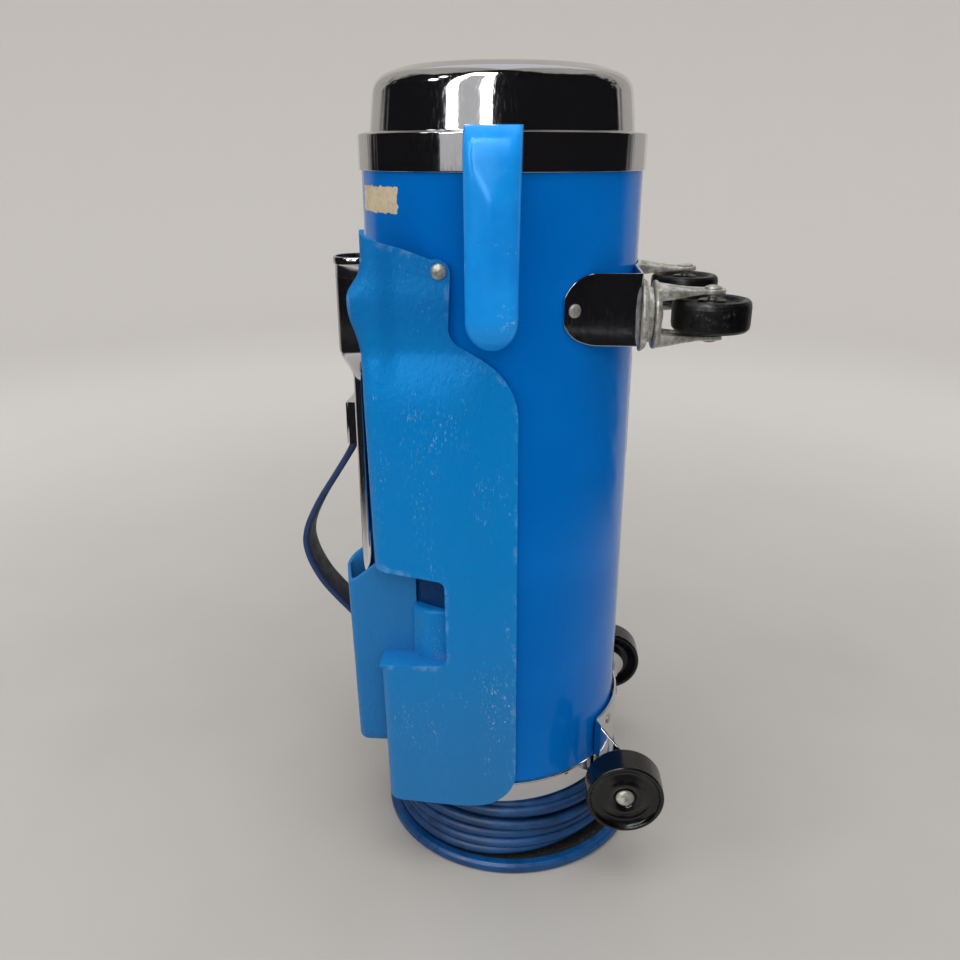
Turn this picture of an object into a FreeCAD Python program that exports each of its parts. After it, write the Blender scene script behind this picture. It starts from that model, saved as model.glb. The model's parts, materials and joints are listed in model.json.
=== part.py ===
"""Tank vacuum cleaner that stands on end, with a side caddy, strap, casters and wheels.

Millimetres, +Z up as it stands. The origin is on the floor, on the tank's axis.
+X is the side with the casters and wheels, -X the side with the strap.
-Y is called left, +Y right.
"""
import FreeCAD, Part
import math
import os
from FreeCAD import Vector as V

# ---------------------------------------------------------------- driving dimensions
TANK_R = 100.0            # outside of the painted steel tube
TANK_WALL = 1.0
TANK_Z0, TANK_Z1 = 64.0, 556.0
PAN_R = 101.2             # chrome band of the bottom pan
PAN_Z0, PAN_Z1 = 62.0, 83.0
CORE_R = 58.0             # exhaust core that carries the cord
BASE_R, BASE_X = 104.0, 12.0
BASE_H = 8.0
BUMPER_R = 110.0

SKIRT_R, SKIRT_Z0 = 102.1, 539.0
LEDGE_Z, DOME_R = 563.0, 93.5
SHEET = 1.2               # pressed sheet of lid and pan
CROWN_Z = 606.8
HOSE_R = 19.0             # socket for a 38 mm hose end

PIN_Y, PIN_Z, PIN_R = 119.5, 551.0, 2.5
GRIP_W, GRIP_Y = 35.0, 138.0
GRIP_Z0 = 433.0
GRIP_THICK = 18.0

CORD_D = 8.5
WIND_R0, WIND_R1, WIND_X, WIND_Y = 72.5, 99.0, 8.0, -4.0
WIND_Z0, WIND_Z1 = BASE_H + 0.6, PAN_Z0 - 1.5

CASTER_Y, CASTER_Z = 68.0, 448.0
FLANGE_X = 97.0
RACE_R = 24.5
CASTER_AXLE_X, CASTER_AXLE_Y = 145.5, 62.6
CASTER_WHEEL_R, CASTER_WHEEL_W = 26.5, 21.5
FORK_HALF = 17.0
FORK_X, FORK_PLATE, RACE_DEPTH, KINGPIN_R = 105.2, 4.5, 4.0, 4.5
CAGE_R = 18.4             # ball cage between raceway and fork
CHEEK_T, CHEEK_END_R, CHEEK_RIB = 2.4, 8.5, 4.6
AXLE_R, SLEEVE_R, SLEEVE_LEN = 3.0, 5.5, 3.0
TAB_RIVET, BAND_RIVET = 59.0, 5.0     # where the caster bracket is riveted, degrees from +X

WHEEL_X, WHEEL_Z = 104.5, 80.4
WHEEL_R, WHEEL_W, WHEEL_FACE = 30.0, 24.5, 111.5

DECK_Z = 250.0            # plate between bag chamber and motor
FAN_R = 66.0
SHAFT_R = 4.0

PANEL = 3.0               # wall of the moulded caddy
FRONT_LOW, FRONT_HIGH = 108.5, 103.0
SHOULDER_Z0, SHOULDER_Z1 = 384.0, 426.0
TOOL = (-91.0, -79.0)     # axis of the stored crevice tool's round end
TOOL_R = 16.0
TOOL_TOP, TOOL_TIP = 487.0, 226.0

STRAP_W, STRAP_T = 30.0, 5.0
STRAP_X, STRAP_LOW_Z, STRAP_TOP_Z = -115.2, 140.0, 366.0
CLIP_X, CLIP_H = -119.6, 34.0

SWITCH_Z, TOGGLE_Y = 165.0, 104.0
BRACKET_Z0, BRACKET_Z1, BRACKET_T = 429.0, 477.0, 2.0
REAR_Z0, REAR_Z1, REAR_T, EAR_Y, EAR_TOP_X = 66.0, 118.0, 2.2, 83.5, 86.0
PLUG_LEN, PLUG_R = 42.0, 10.25
FLAP_SCREW = (-35.8, 479.0)
TAB_ANGLE, TAB_HEIGHTS = -158.0, (128.0, 222.0)
POCKET_FRONT, POCKET_BACK = -84.0, -53.0
GAP = 0.3                 # clearance between pieces that move
STEP_Z = 232.0            # ledge half way up the notch

# route of the cord from the winding to the plug, (x, y, z)
TAIL = [(52.0, 80.0, 23.0), (33.0, 101.0, 22.0), (9.0, 113.0, 20.0), (-15.0, 121.0, 12.5),
        (-39.0, 125.5, 5.4), (-63.0, 127.5, PLUG_R)]
# line of the strap's middle seen from the side, (x, z)
STRAP_LINE = [(STRAP_X, STRAP_TOP_Z), (STRAP_X, 352), (STRAP_X - 0.1, 341), (-117.6, 330),
              (-131.0, 308), (-148.0, 281), (-159.0, 256), (-158.5, 236), (-149.0, 214),
              (-137.0, 198), (-125.0, 184.5), (-117.4, 175), (STRAP_X - 0.1, 165),
              (STRAP_X, 154), (STRAP_X, STRAP_LOW_Z)]
# cut-out in the caddy's front, (x, z)
NOTCH = [(-130.0, 274.0), (-82.0, 269.5), (-38.0, 262.0), (-34.0, 255.0), (-33.0, 196.0),
         (-36.0, 191.5), (-130.0, 190.0)]

ORIGIN, UP = V(0, 0, 0), V(0, 0, 1)


# ---------------------------------------------------------------- helpers
def cyl(r, z0, z1, x=0.0, y=0.0):
    return Part.makeCylinder(r, z1 - z0, V(x, y, z0), UP)


def ring(r0, r1, z0, z1, x=0.0, y=0.0):
    return cyl(r1, z0, z1, x, y).cut(cyl(r0, z0 - 1, z1 + 1, x, y))


def rod(r, start, end):
    axis = end - start
    return Part.makeCylinder(r, axis.Length, start, axis)


def tube(r0, r1, start, end):
    extra = (end - start).normalize()
    return rod(r1, start, end).cut(rod(r0, start - extra, end + extra))


def block(x0, x1, y0, y1, z0, z1):
    return Part.makeBox(x1 - x0, y1 - y0, z1 - z0, V(x0, y0, z0))


def polyface(points):
    return Part.Face(Part.makePolygon(points + [points[0]]))


def prism(points, along):
    return polyface(points).extrude(along)


def revolve(profile):
    """Turn a closed outline of (radius, height) pairs about the tank's axis."""
    return polyface([V(r, 0, z) for r, z in profile]).revolve(ORIGIN, UP, 360)


def fuse(shapes):
    whole = shapes[0]
    for shape in shapes[1:]:
        whole = whole.fuse(shape)
    return whole.removeSplitter()


def mirror_y(shape):
    return shape.mirror(ORIGIN, V(0, 1, 0))


def both_sides(shape):
    return Part.makeCompound([shape, mirror_y(shape)])


def polar(r, degrees, z=0.0):
    a = math.radians(degrees)
    return V(r * math.cos(a), r * math.sin(a), z)


def smooth(t):
    t = min(1.0, max(0.0, t))
    return t * t * (3.0 - 2.0 * t)


def arc_edge(cx, cz, r, a0, a1, y):
    """Arc in a plane of constant y, angles in degrees from +X towards +Z."""
    pts = [V(cx + r * math.cos(math.radians(a)), y, cz + r * math.sin(math.radians(a)))
           for a in (a0, (a0 + a1) / 2.0, a1)]
    return Part.Arc(*pts).toShape()


def line_edge(a, b):
    return Part.LineSegment(a, b).toShape()


def domed_head(r, height, at, direction):
    """Low domed fastener head standing on a surface."""
    ball_r = (r * r + height * height) / (2.0 * height)
    centre = at - direction * (ball_r - height)
    rise = math.degrees(math.asin((ball_r - height) / ball_r))
    return Part.makeSphere(ball_r, centre, direction, rise, 90.0, 360.0)


def save(name, shape):
    shape.exportStep(os.path.join("parts", name + ".step"))
    print("%-22s %8.1f cm3  solids %d  valid %s"
          % (name, shape.Volume / 1000.0, len(shape.Solids), shape.isValid()))


# ---------------------------------------------------------------- tank and base
def tank_shell():
    shell = ring(TANK_R - TANK_WALL, TANK_R, TANK_Z0, TANK_Z1)
    shell = shell.cut(rod(6.2, V(0, 90, SWITCH_Z), V(0, 110, SWITCH_Z)))
    return shell


def bottom_pan():
    floor = ring(CORE_R - 8, PAN_R, PAN_Z0, PAN_Z0 + SHEET)
    band = ring(TANK_R, PAN_R, PAN_Z0, PAN_Z1)
    return fuse([floor, band])


def exhaust_core():
    """Slotted drum under the pan, with a foot flange on the base disc."""
    drum = ring(CORE_R - 2.0, CORE_R, BASE_H, PAN_Z0)
    foot = ring(CORE_R - 12.0, CORE_R - 2.0, BASE_H, BASE_H + 2.0)
    core = drum.fuse(foot)
    for i in range(24):
        slot = block(CORE_R - 5, CORE_R + 3, -2.0, 2.0, BASE_H + 12, PAN_Z0 - 12)
        slot.rotate(ORIGIN, UP, 360.0 / 24 * i + 7.5)
        core = core.cut(slot)
    return core


def base_disc():
    disc = cyl(BASE_R, 0, BASE_H, BASE_X)
    return disc.makeFillet(1.5, [e for e in disc.Edges if e.BoundBox.ZMin > BASE_H - 0.1])


def base_bumper():
    band = ring(BASE_R, BUMPER_R, 0, BASE_H, BASE_X)
    outer = [e for e in band.Edges
             if len(e.Vertexes) == 1 and abs(e.Curve.Radius - BUMPER_R) < 0.01]
    return band.makeFillet(3.4, outer)


def base_screws():
    heads = []
    for i in range(4):
        at = polar(CORE_R - 7, 45 + 90 * i, BASE_H + 2.0)
        heads.append(domed_head(4.0, 2.4, at, UP))
    return Part.makeCompound(heads)


# ---------------------------------------------------------------- lid
def lid_outline(t):
    """Half section of the pressed lid, moved inwards by t, from skirt to crown."""
    wall_top_r, wall_top_z = 89.8 - t, 585.0
    crown_r, crown_z = 72.0, 604.2 - t
    hole_r, hole_z = HOSE_R + 4.5, CROWN_Z - t
    pts = [(SKIRT_R - t, SKIRT_Z0), (SKIRT_R - t, LEDGE_Z - 1.0), (SKIRT_R - 1.0 - t, LEDGE_Z - t),
           (DOME_R + 1.0 - t, LEDGE_Z - t), (DOME_R - t, LEDGE_Z + 1.0)]
    pts.append((wall_top_r, wall_top_z))
    for i in range(1, 9):
        a = math.radians(90.0 * i / 9)
        x = crown_r + (wall_top_r - crown_r) * math.cos(a) ** 0.9
        z = wall_top_z + (crown_z - wall_top_z) * math.sin(a) ** 0.95
        pts.append((x, z))
    pts.append((crown_r, crown_z))
    for i in range(1, 7):
        s = i / 6.0
        r = crown_r + (hole_r - crown_r) * s
        pts.append((r, crown_z + (hole_z - crown_z) * (1 - (1 - s) ** 2)))
    return pts


def lid_shell():
    outer, inner = lid_outline(0.0), lid_outline(SHEET)
    return revolve(outer + inner[::-1])


def lid_gasket():
    return ring(94.5, 100.6, TANK_Z1 + 0.4, LEDGE_Z - SHEET - 0.1)


def hose_collar():
    """Socket in the crown for the hose end, with a flange under the sheet."""
    neck = ring(HOSE_R, HOSE_R + 4.0, 578.0, CROWN_Z + 0.8)
    flange = ring(HOSE_R + 4.0, HOSE_R + 13.0, 601.0, 603.6)
    lip = ring(HOSE_R, HOSE_R + 7.5, CROWN_Z + 0.3, CROWN_Z + 0.8)
    return fuse([neck, flange, lip])


def latch_lug():
    """Two ears on a foot plate that is riveted to the skirt."""
    ears = []
    for side in (-1, 1):
        x0 = min(12.2 * side, 14.4 * side)
        ear = block(x0, x0 + 2.2, -PIN_Y, -104.0, PIN_Z - 6, PIN_Z + 6)
        end = rod(6.0, V(x0, -PIN_Y, PIN_Z), V(x0 + 2.2, -PIN_Y, PIN_Z))
        ears.append(ear.fuse(end))
    foot = block(-14.4, 14.4, -103.8, -101.0, PIN_Z - 8, PIN_Z + 8)
    foot = foot.cut(cyl(SKIRT_R, PIN_Z - 10, PIN_Z + 10))
    lug = fuse([foot] + ears)
    return lug.cut(rod(PIN_R, V(-20, -PIN_Y, PIN_Z), V(20, -PIN_Y, PIN_Z)))


def latch_pin():
    return rod(PIN_R, V(-14.4, -PIN_Y, PIN_Z), V(14.4, -PIN_Y, PIN_Z))


# ---------------------------------------------------------------- lid handles
def grip_side(x0, x1):
    """Side profile of the handle: round hinge end, straight bar, foot that turns in."""
    y_out, y_in = -GRIP_Y, -GRIP_Y + GRIP_THICK
    top = 15.2
    pts = [V(x0, -PIN_Y + top * math.cos(math.radians(a)), PIN_Z + top * math.sin(math.radians(a)))
           for a in range(-60, 91, 15)]
    pts += [V(x0, -128.5, 565.4), V(x0, y_out + 3.0, 557.5), V(x0, y_out, 551.0)]
    pts += [V(x0, y_out, 456.0), V(x0, y_out + 3.0, 443.0), V(x0, y_out + 11.0, 435.0),
            V(x0, y_out + 20.0, GRIP_Z0), V(x0, -106.0, GRIP_Z0 + 1.0), V(x0, -103.0, 438.0),
            V(x0, -103.5, 446.0), V(x0, -108.0, 453.0), V(x0, y_in, 462.0)]
    pts += [V(x0, y_in, 530.0)]
    return prism(pts, V(x1 - x0, 0, 0))


def grip_front():
    """Front outline: slightly tapered, with a round lower end."""
    half_top, half_low, z_round = GRIP_W / 2.0, GRIP_W / 2.0 - 1.2, 454.0
    pts = [V(-half_top, -150, 567), V(half_top, -150, 567), V(half_low, -150, z_round)]
    for i in range(1, 12):
        a = math.pi * i / 12
        pts.append(V(half_low * math.cos(a), -150, z_round - (z_round - GRIP_Z0) * math.sin(a)))
    pts.append(V(-half_low, -150, z_round))
    return prism(pts, V(0, 60, 0))


def grip_section():
    """Plan section: flat back, rounded front edges."""
    half, edge = GRIP_W / 2.0, 7.0
    pts = [V(half, -95, 420), V(half, -GRIP_Y + edge, 420)]
    for i in range(1, 6):
        a = math.radians(90.0 * i / 6)
        pts.append(V(half - edge + edge * math.cos(a), -GRIP_Y + edge - (edge - 1.2) * math.sin(a), 420))
    pts.append(V(half - edge, -GRIP_Y + 1.2, 420))
    pts.append(V(0, -GRIP_Y, 420))
    mirrored = [V(-p.x, p.y, p.z) for p in pts[:-1]]
    return prism(pts + mirrored[::-1], V(0, 0, 160))


def latch_handle():
    half = GRIP_W / 2.0
    body = grip_side(-half, half).common(grip_front()).common(grip_section())
    for side in (-1, 1):
        x0 = min(11.8 * side, 14.9 * side)
        body = body.cut(block(x0, x0 + 3.1, -128.0, -100.0, 543.0, 570.0))
    boss_space = block(-11.8, 11.8, -107.0, -100.0, 530.0, 570.0)
    body = body.cut(boss_space)
    return body.cut(rod(PIN_R + 0.05, V(-20, -PIN_Y, PIN_Z), V(20, -PIN_Y, PIN_Z)))


def clamp_pad():
    """Rubber pad under the hinge that presses the tank below the skirt."""
    pad = block(-9.0, 9.0, -GRIP_Y + GRIP_THICK, -100.0, 516.0, 533.0)
    return pad.cut(cyl(TANK_R + 0.35, 500, 545)).cut(latch_handle())


# ---------------------------------------------------------------- cord and plug
def cord_winding():
    return ring(WIND_R0, WIND_R1, WIND_Z0, WIND_Z1, WIND_X, WIND_Y)


def strain_relief():
    """Foot on the core and a tapered sleeve that points along the winding."""
    tip = V(-20.0, 66.0, 50.0)
    root = V(16.0, 63.5, 50.0)
    axis = tip - root
    sleeve = Part.makeCone(8.0, CORD_D / 2.0 + 1.0, axis.Length, root, axis)
    foot = block(4.0, 20.0, 48.0, 69.0, 42.0, 58.0)
    return fuse([foot, sleeve]).cut(cyl(CORE_R, 0, 70)).cut(cord_winding())


def rounded_path(points):
    """Straight runs joined by tangent arcs, each as large as its two runs allow."""
    pts = [V(*p) for p in points]
    edges, start = [], pts[0]
    for before, corner, after in zip(pts, pts[1:], pts[2:]):
        back, ahead = (before - corner).normalize(), (after - corner).normalize()
        half_turn = (math.pi - back.getAngle(ahead)) / 2.0
        reach = 0.45 * min((before - corner).Length, (after - corner).Length)
        radius = reach / math.tan(half_turn)
        print("   cord arc radius %.0f mm" % radius)
        a, b = corner + back * reach, corner + ahead * reach
        middle_dir = (back + ahead).normalize()
        middle = corner + middle_dir * (math.hypot(reach, radius) - radius)
        edges += [line_edge(start, a), Part.Arc(a, middle, b).toShape()]
        start = b
    edges.append(line_edge(start, pts[-1]))
    return Part.Wire(edges)


def cord_tail():
    path = rounded_path(TAIL)
    first = path.Edges[0]
    start = first.Vertexes[0].Point
    circle = Part.Wire(Part.makeCircle(CORD_D / 2.0, start, first.tangentAt(first.FirstParameter)))
    tail = path.makePipeShell([circle], True, False)
    print("   cord tail %.0f mm long, volume ratio %.3f"
          % (path.Length, tail.Volume / (path.Length * math.pi * CORD_D ** 2 / 4)))
    return tail.cut(cord_winding())


def plug_axis():
    a, b = V(*TAIL[-2]), V(*TAIL[-1])
    direction = V(b.x - a.x, b.y - a.y, 0).normalize()
    return b, direction


def plug_body():
    at, direction = plug_axis()
    sleeve = Part.makeCone(CORD_D / 2.0 + 0.8, 7.5, 16.0, at, direction)
    body = rod(PLUG_R, at + direction * 16.0, at + direction * PLUG_LEN)
    return fuse([sleeve, body])


def plug_blades():
    at, direction = plug_axis()
    side = V(-direction.y, direction.x, 0)
    face = at + direction * PLUG_LEN
    blades = []
    for s in (-1, 1):
        c = face + side * (6.35 * s)
        corner = c - side * 0.75 - V(0, 0, 3.15)
        blades.append(prism([corner, corner + side * 1.5, corner + side * 1.5 + V(0, 0, 6.3),
                             corner + V(0, 0, 6.3)], direction * 16.0))
    return Part.makeCompound(blades)


# ---------------------------------------------------------------- bag chamber
def bag_ring():
    return ring(80.0, TANK_R - TANK_WALL - 0.1, 546.0, 548.0)


def bag_collar():
    """Card of the dust bag, lying on the ring, with the inlet hole."""
    return ring(20.5, 90.0, 548.0, 550.0)


def dust_bag():
    bag = revolve([(0, 300), (48, 302), (58, 312), (62, 330), (62, 500), (56, 530),
                   (46, 544), (34, 548), (22, 548), (22, 540), (0, 540)])
    return bag


def motor_filter():
    return cyl(92.0, DECK_Z + 3.2, DECK_Z + 15.0)


# ---------------------------------------------------------------- motor and fans
def motor_deck():
    plate = ring(52.0, TANK_R - TANK_WALL - 0.1, DECK_Z, DECK_Z + 3.0)
    rim = ring(TANK_R - TANK_WALL - 1.6, TANK_R - TANK_WALL - 0.1, DECK_Z - 14, DECK_Z)
    return fuse([plate, rim])


def motor_mount_ring():
    return ring(56.0, 70.0, DECK_Z - 6.0, DECK_Z)


def fan_housing():
    return revolve([(30, 243), (30, 244), (72, 244), (72, 190), (26, 190), (26, 191.2),
                    (70.8, 191.2), (70.8, 243)])


def vane_plate():
    plate = ring(14.0, 70.7, 216.4, 217.6)
    vanes = []
    for i in range(10):
        vane = block(30, 66, -0.5, 0.5, 213.2, 216.4)
        vane.rotate(V(30, 0, 0), UP, 35)
        vane.rotate(ORIGIN, UP, 36 * i)
        vanes.append(vane)
    return fuse([plate] + vanes)


def fan_wheel(z0):
    back = ring(SHAFT_R, FAN_R, z0, z0 + 1.0)
    front = ring(24.0, FAN_R, z0 + 12.0, z0 + 13.0)
    hub = ring(SHAFT_R, 9.0, z0, z0 + 8.0)
    blades = []
    for i in range(8):
        blade = block(24, 66, -0.6, 0.6, z0 + 0.5, z0 + 12.5)
        blade.rotate(V(24, 0, 0), UP, 28)
        blade.rotate(ORIGIN, UP, 45 * i)
        blades.append(blade.common(cyl(FAN_R, z0, z0 + 13)))
    return fuse([back, front, hub] + blades)


def fan_wheels():
    return Part.makeCompound([fan_wheel(195.0), fan_wheel(223.0)])


def motor_shaft():
    return cyl(SHAFT_R, 98.0, 240.0)


def armature():
    core = ring(SHAFT_R, 23.5, 136.0, 174.0)
    for i in range(12):
        slot = rod(2.2, polar(21.5, 30 * i, 130), polar(21.5, 30 * i, 180))
        core = core.cut(slot)
    return core


def commutator():
    return ring(SHAFT_R, 12.0, 116.0, 133.0)


def field_core():
    stack = block(-40, 40, -40, 40, 136, 174).common(cyl(50, 136, 174))
    return stack.cut(cyl(24.5, 130, 180))


def field_windings():
    return Part.makeCompound([ring(26.0, 36.0, 126.0, 136.0), ring(26.0, 36.0, 174.0, 182.0)])


def motor_frame():
    """Two end plates joined by four posts, hung from the fan housing."""
    top = ring(11.0, 54.0, 183.5, 190.0)
    low = ring(11.0, 54.0, 101.0, 105.5)
    posts = [cyl(3.0, 105.5, 183.5, 47.0 * sx, 22.0 * sy) for sx in (-1, 1) for sy in (-1, 1)]
    return fuse([top, low] + posts)


def motor_bearings():
    return Part.makeCompound([ring(SHAFT_R + 0.05, 11.0, 183.5, 190.0),
                              ring(SHAFT_R + 0.05, 11.0, 101.0, 108.0)])


def brush_holders():
    holder = block(-5, 5, 12.4, 40, 115, 125)
    return Part.makeCompound([holder, mirror_y(holder)])


# ---------------------------------------------------------------- switch
def switch_body():
    case = block(-9, 9, 74, 97.5, SWITCH_Z - 14, SWITCH_Z + 14)
    bush = rod(6.0, V(0, 97.5, SWITCH_Z), V(0, 108.0, SWITCH_Z))
    nut = rod(9.0, V(0, TANK_R + 0.2, SWITCH_Z), V(0, 103.5, SWITCH_Z))
    body = fuse([case, bush, nut])
    socket = Part.makeCone(3.6, 5.4, 9.0, V(0, 99.5, SWITCH_Z), V(0, 1, 0))
    return body.cut(socket)


def switch_toggle():
    """Lever at its off position, tipped down by 12 degrees."""
    lever = Part.makeCone(2.2, 3.2, 20.0, V(0, TOGGLE_Y - 2.5, SWITCH_Z), V(0, 1, 0))
    tip = Part.makeSphere(3.2, V(0, TOGGLE_Y + 17.5, SWITCH_Z))
    ball = Part.makeSphere(2.9, V(0, TOGGLE_Y - 1.0, SWITCH_Z))
    toggle = fuse([lever, tip, ball])
    toggle.rotate(V(0, TOGGLE_Y, SWITCH_Z), V(1, 0, 0), -12)
    return toggle


# ---------------------------------------------------------------- casters
def band_strip(z0, z1, points, thickness):
    """Bent strip: a plan polyline given a thickness on its outer side."""
    outer = []
    for i, p in enumerate(points):
        before = points[max(i - 1, 0)]
        after = points[min(i + 1, len(points) - 1)]
        n_in, n_out = (p - before), (after - p)
        normals = [V(d.y, -d.x, 0).normalize() for d in (n_in, n_out) if d.Length > 1e-6]
        mid = V(0, 0, 0)
        for n in normals:
            mid = mid + n
        mid = mid.normalize()
        scale = thickness / max(0.5, mid.dot(normals[0]))
        outer.append(p + mid * scale)
    outline = [V(p.x, p.y, z0) for p in points + outer[::-1]]
    return prism(outline, V(0, 0, z1 - z0))


def caster_bracket():
    """Chrome strip: tab on the tank, side plate, flange, and round the tank to the other side."""
    tab = [polar(TANK_R + 0.2, a) for a in (-63.5, -60, -57, -54)]
    path = tab + [V(61.5, -81.0, 0), V(FLANGE_X - 2.0, -81.0, 0), V(FLANGE_X - 2.0, -33.0, 0)]
    path += [polar(TANK_R + 0.5, a) for a in (-14, -10, -5, 0)]
    path += [V(p.x, -p.y, 0) for p in path[::-1][1:]]
    strip = band_strip(BRACKET_Z0, BRACKET_Z1, path, BRACKET_T)
    mid_z, half = (BRACKET_Z0 + BRACKET_Z1) / 2.0, (BRACKET_Z1 - BRACKET_Z0) / 2.0
    keep = block(58.0, 140, -120, 120, BRACKET_Z0, BRACKET_Z1)
    ends = Part.makeCylinder(half, 240, V(half + 44.0, -120, mid_z), V(0, 1, 0))
    strip = strip.common(keep.fuse(ends))
    return strip.cut(cyl(TANK_R + 0.05, 400, 500))


def caster_bracket_rivets():
    rivets = []
    for side in (-1, 1):
        mid_z = (BRACKET_Z0 + BRACKET_Z1) / 2.0
        at = polar(TANK_R + BRACKET_T, TAB_RIVET * side, mid_z)
        out = polar(1.0, TAB_RIVET * side)
        rivets.append(domed_head(4.6, 1.9, at, out))
        for dz in (-15.0, 15.0):
            at = polar(TANK_R + BRACKET_T + 0.6, BAND_RIVET * side, mid_z + dz)
            rivets.append(domed_head(3.6, 1.6, at, polar(1.0, BAND_RIVET * side)))
    return Part.makeCompound(rivets)


def caster_race(side):
    """Fixed raceway cup on the flange, the ball cage on it and the headed kingpin."""
    def at(x):
        return V(x, CASTER_Y * side, CASTER_Z)
    cup_x, cage_x = FLANGE_X + RACE_DEPTH, FORK_X - GAP
    cup = Part.makeCone(RACE_R, RACE_R - 3.0, RACE_DEPTH, at(FLANGE_X), V(1, 0, 0))
    cage = rod(CAGE_R, at(cup_x), at(cage_x))
    head_x = FORK_X + FORK_PLATE + GAP
    pin = rod(KINGPIN_R, at(cage_x), at(head_x))
    return fuse([cup, cage, pin, domed_head(7.5, 2.6, at(head_x), V(1, 0, 0))])


def caster_fork(side):
    """Swivel cup and two cheeks that carry the axle, cheeks above and below the wheel."""
    y, ay, x0 = CASTER_Y * side, CASTER_AXLE_Y * side, FORK_X
    cup = Part.makeCone(RACE_R - 1.5, 19.0, FORK_PLATE, V(x0, y, CASTER_Z), V(1, 0, 0))
    bore = rod(KINGPIN_R + 0.05, V(x0 - 1, y, CASTER_Z), V(x0 + 20, y, CASTER_Z))
    cheeks = []
    for s in (-1, 1):
        z_out = CASTER_Z + FORK_HALF * s
        z0 = min(z_out, z_out - CHEEK_T * s)
        lo, hi = min(y - 14, ay - 9), max(y + 14, ay + 9)
        pts = [V(x0 + 2.0, lo + 2, z0), V(x0 + 2.0, hi - 2, z0), V(x0 + 14, hi - 3, z0),
               V(CASTER_AXLE_X, ay + CHEEK_END_R, z0), V(CASTER_AXLE_X, ay - CHEEK_END_R, z0),
               V(x0 + 14, lo + 3, z0)]
        cheek = prism(pts, V(0, 0, CHEEK_T)).fuse(cyl(CHEEK_END_R, z0, z0 + CHEEK_T, CASTER_AXLE_X, ay))
        rib = [V(x0 + 2.0, y - 40, z_out - s), V(x0 + 2.0, y - 40, z_out + CHEEK_RIB * s),
               V(x0 + 9.0, y - 40, z_out + 0.8 * CHEEK_RIB * s), V(x0 + 30.0, y - 40, z_out - 0.5 * s),
               V(x0 + 30.0, y - 40, z_out - s)]
        plan = prism([V(p.x, p.y, CASTER_Z - 30) for p in pts], V(0, 0, 60))
        cheeks.append(cheek.fuse(prism(rib, V(0, 80, 0)).common(plan)))
    web = block(x0 + 2.0, x0 + FORK_PLATE, y - 12, y + 12, CASTER_Z - FORK_HALF, CASTER_Z + FORK_HALF)
    fork = fuse([cup, web] + cheeks).cut(bore)
    return fork.cut(cyl(AXLE_R, 400, 500, CASTER_AXLE_X, ay))


def caster_axle(side):
    ay = CASTER_AXLE_Y * side
    z0, z1 = CASTER_Z - FORK_HALF, CASTER_Z + FORK_HALF
    pin = cyl(AXLE_R, z0, z1, CASTER_AXLE_X, ay)
    top = domed_head(6.0, 2.4, V(CASTER_AXLE_X, ay, z1), UP)
    low = domed_head(5.0, 2.0, V(CASTER_AXLE_X, ay, z0), V(0, 0, -1))
    high, low_in = z1 - CHEEK_T, z0 + CHEEK_T
    sleeves = [ring(AXLE_R, SLEEVE_R, high - SLEEVE_LEN, high, CASTER_AXLE_X, ay),
               ring(AXLE_R, SLEEVE_R, low_in, low_in + SLEEVE_LEN, CASTER_AXLE_X, ay)]
    return fuse([pin, top, low] + sleeves)


def wheel_solid(r, w, bore, recess, hub_r):
    """Moulded wheel along +Z from 0 to w: crowned tread, recessed faces, hub."""
    edge = 2.6
    pts = [(bore, 0.6), (hub_r - 1.5, 0.6), (hub_r, recess + 1.5), (r * 0.72, recess + 0.6),
           (r * 0.80, 1.2), (r - edge - 2.2, 0.0)]
    pts += [(r - edge + edge * math.sin(math.radians(a)) - 0.4, edge - edge * math.cos(math.radians(a)))
            for a in range(0, 91, 18)]
    pts.append((r, w / 2.0))
    mirrored = [(pr, w - pz) for pr, pz in pts[:-1]]
    return revolve(pts + mirrored[::-1])


def caster_wheel(side):
    wheel = wheel_solid(CASTER_WHEEL_R, CASTER_WHEEL_W, 3.06, 3.0, 9.5)
    wheel.translate(V(CASTER_AXLE_X, CASTER_AXLE_Y * side, CASTER_Z - CASTER_WHEEL_W / 2.0))
    return wheel


# ---------------------------------------------------------------- fixed wheels
def ear_outline():
    """Side outline of the wheel bracket: full height on the tank, narrowing to round the bolt."""
    end_r = WHEEL_Z - REAR_Z0
    dx, dz = EAR_TOP_X - WHEEL_X, REAR_Z1 - WHEEL_Z
    away = math.hypot(dx, dz)
    a = math.atan2(dz, dx) - math.acos(end_r / away)
    tangent = (WHEEL_X + end_r * math.cos(a), WHEEL_Z + end_r * math.sin(a))
    pts = [(60.0, REAR_Z0), (WHEEL_X, REAR_Z0), (WHEEL_X, WHEEL_Z), tangent,
           (EAR_TOP_X, REAR_Z1), (60.0, REAR_Z1)]
    side = prism([V(x, -120, z) for x, z in pts], V(0, 240, 0))
    end = Part.makeCylinder(end_r, 240, V(WHEEL_X, -120, WHEEL_Z), V(0, 1, 0))
    return side.fuse(end)


def rear_bracket():
    """Chrome band round the tank whose ends flare out into ears for the axle bolts."""
    arc = [polar(PAN_R + 0.2, a) for a in range(-36, 1, 4)]
    path = [V(128.0, -EAR_Y, 0), V(94.0, -EAR_Y, 0)] + arc
    path += [V(p.x, -p.y, 0) for p in path[::-1][1:]]
    strip = band_strip(REAR_Z0, REAR_Z1, path, REAR_T)
    strip = strip.common(ear_outline())
    hole = Part.makeCylinder(4.0, 240, V(WHEEL_X, -120, WHEEL_Z), V(0, 1, 0))
    return strip.cut(hole).cut(cyl(PAN_R, PAN_Z0, PAN_Z1)).cut(cyl(TANK_R, 50, 200))


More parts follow.
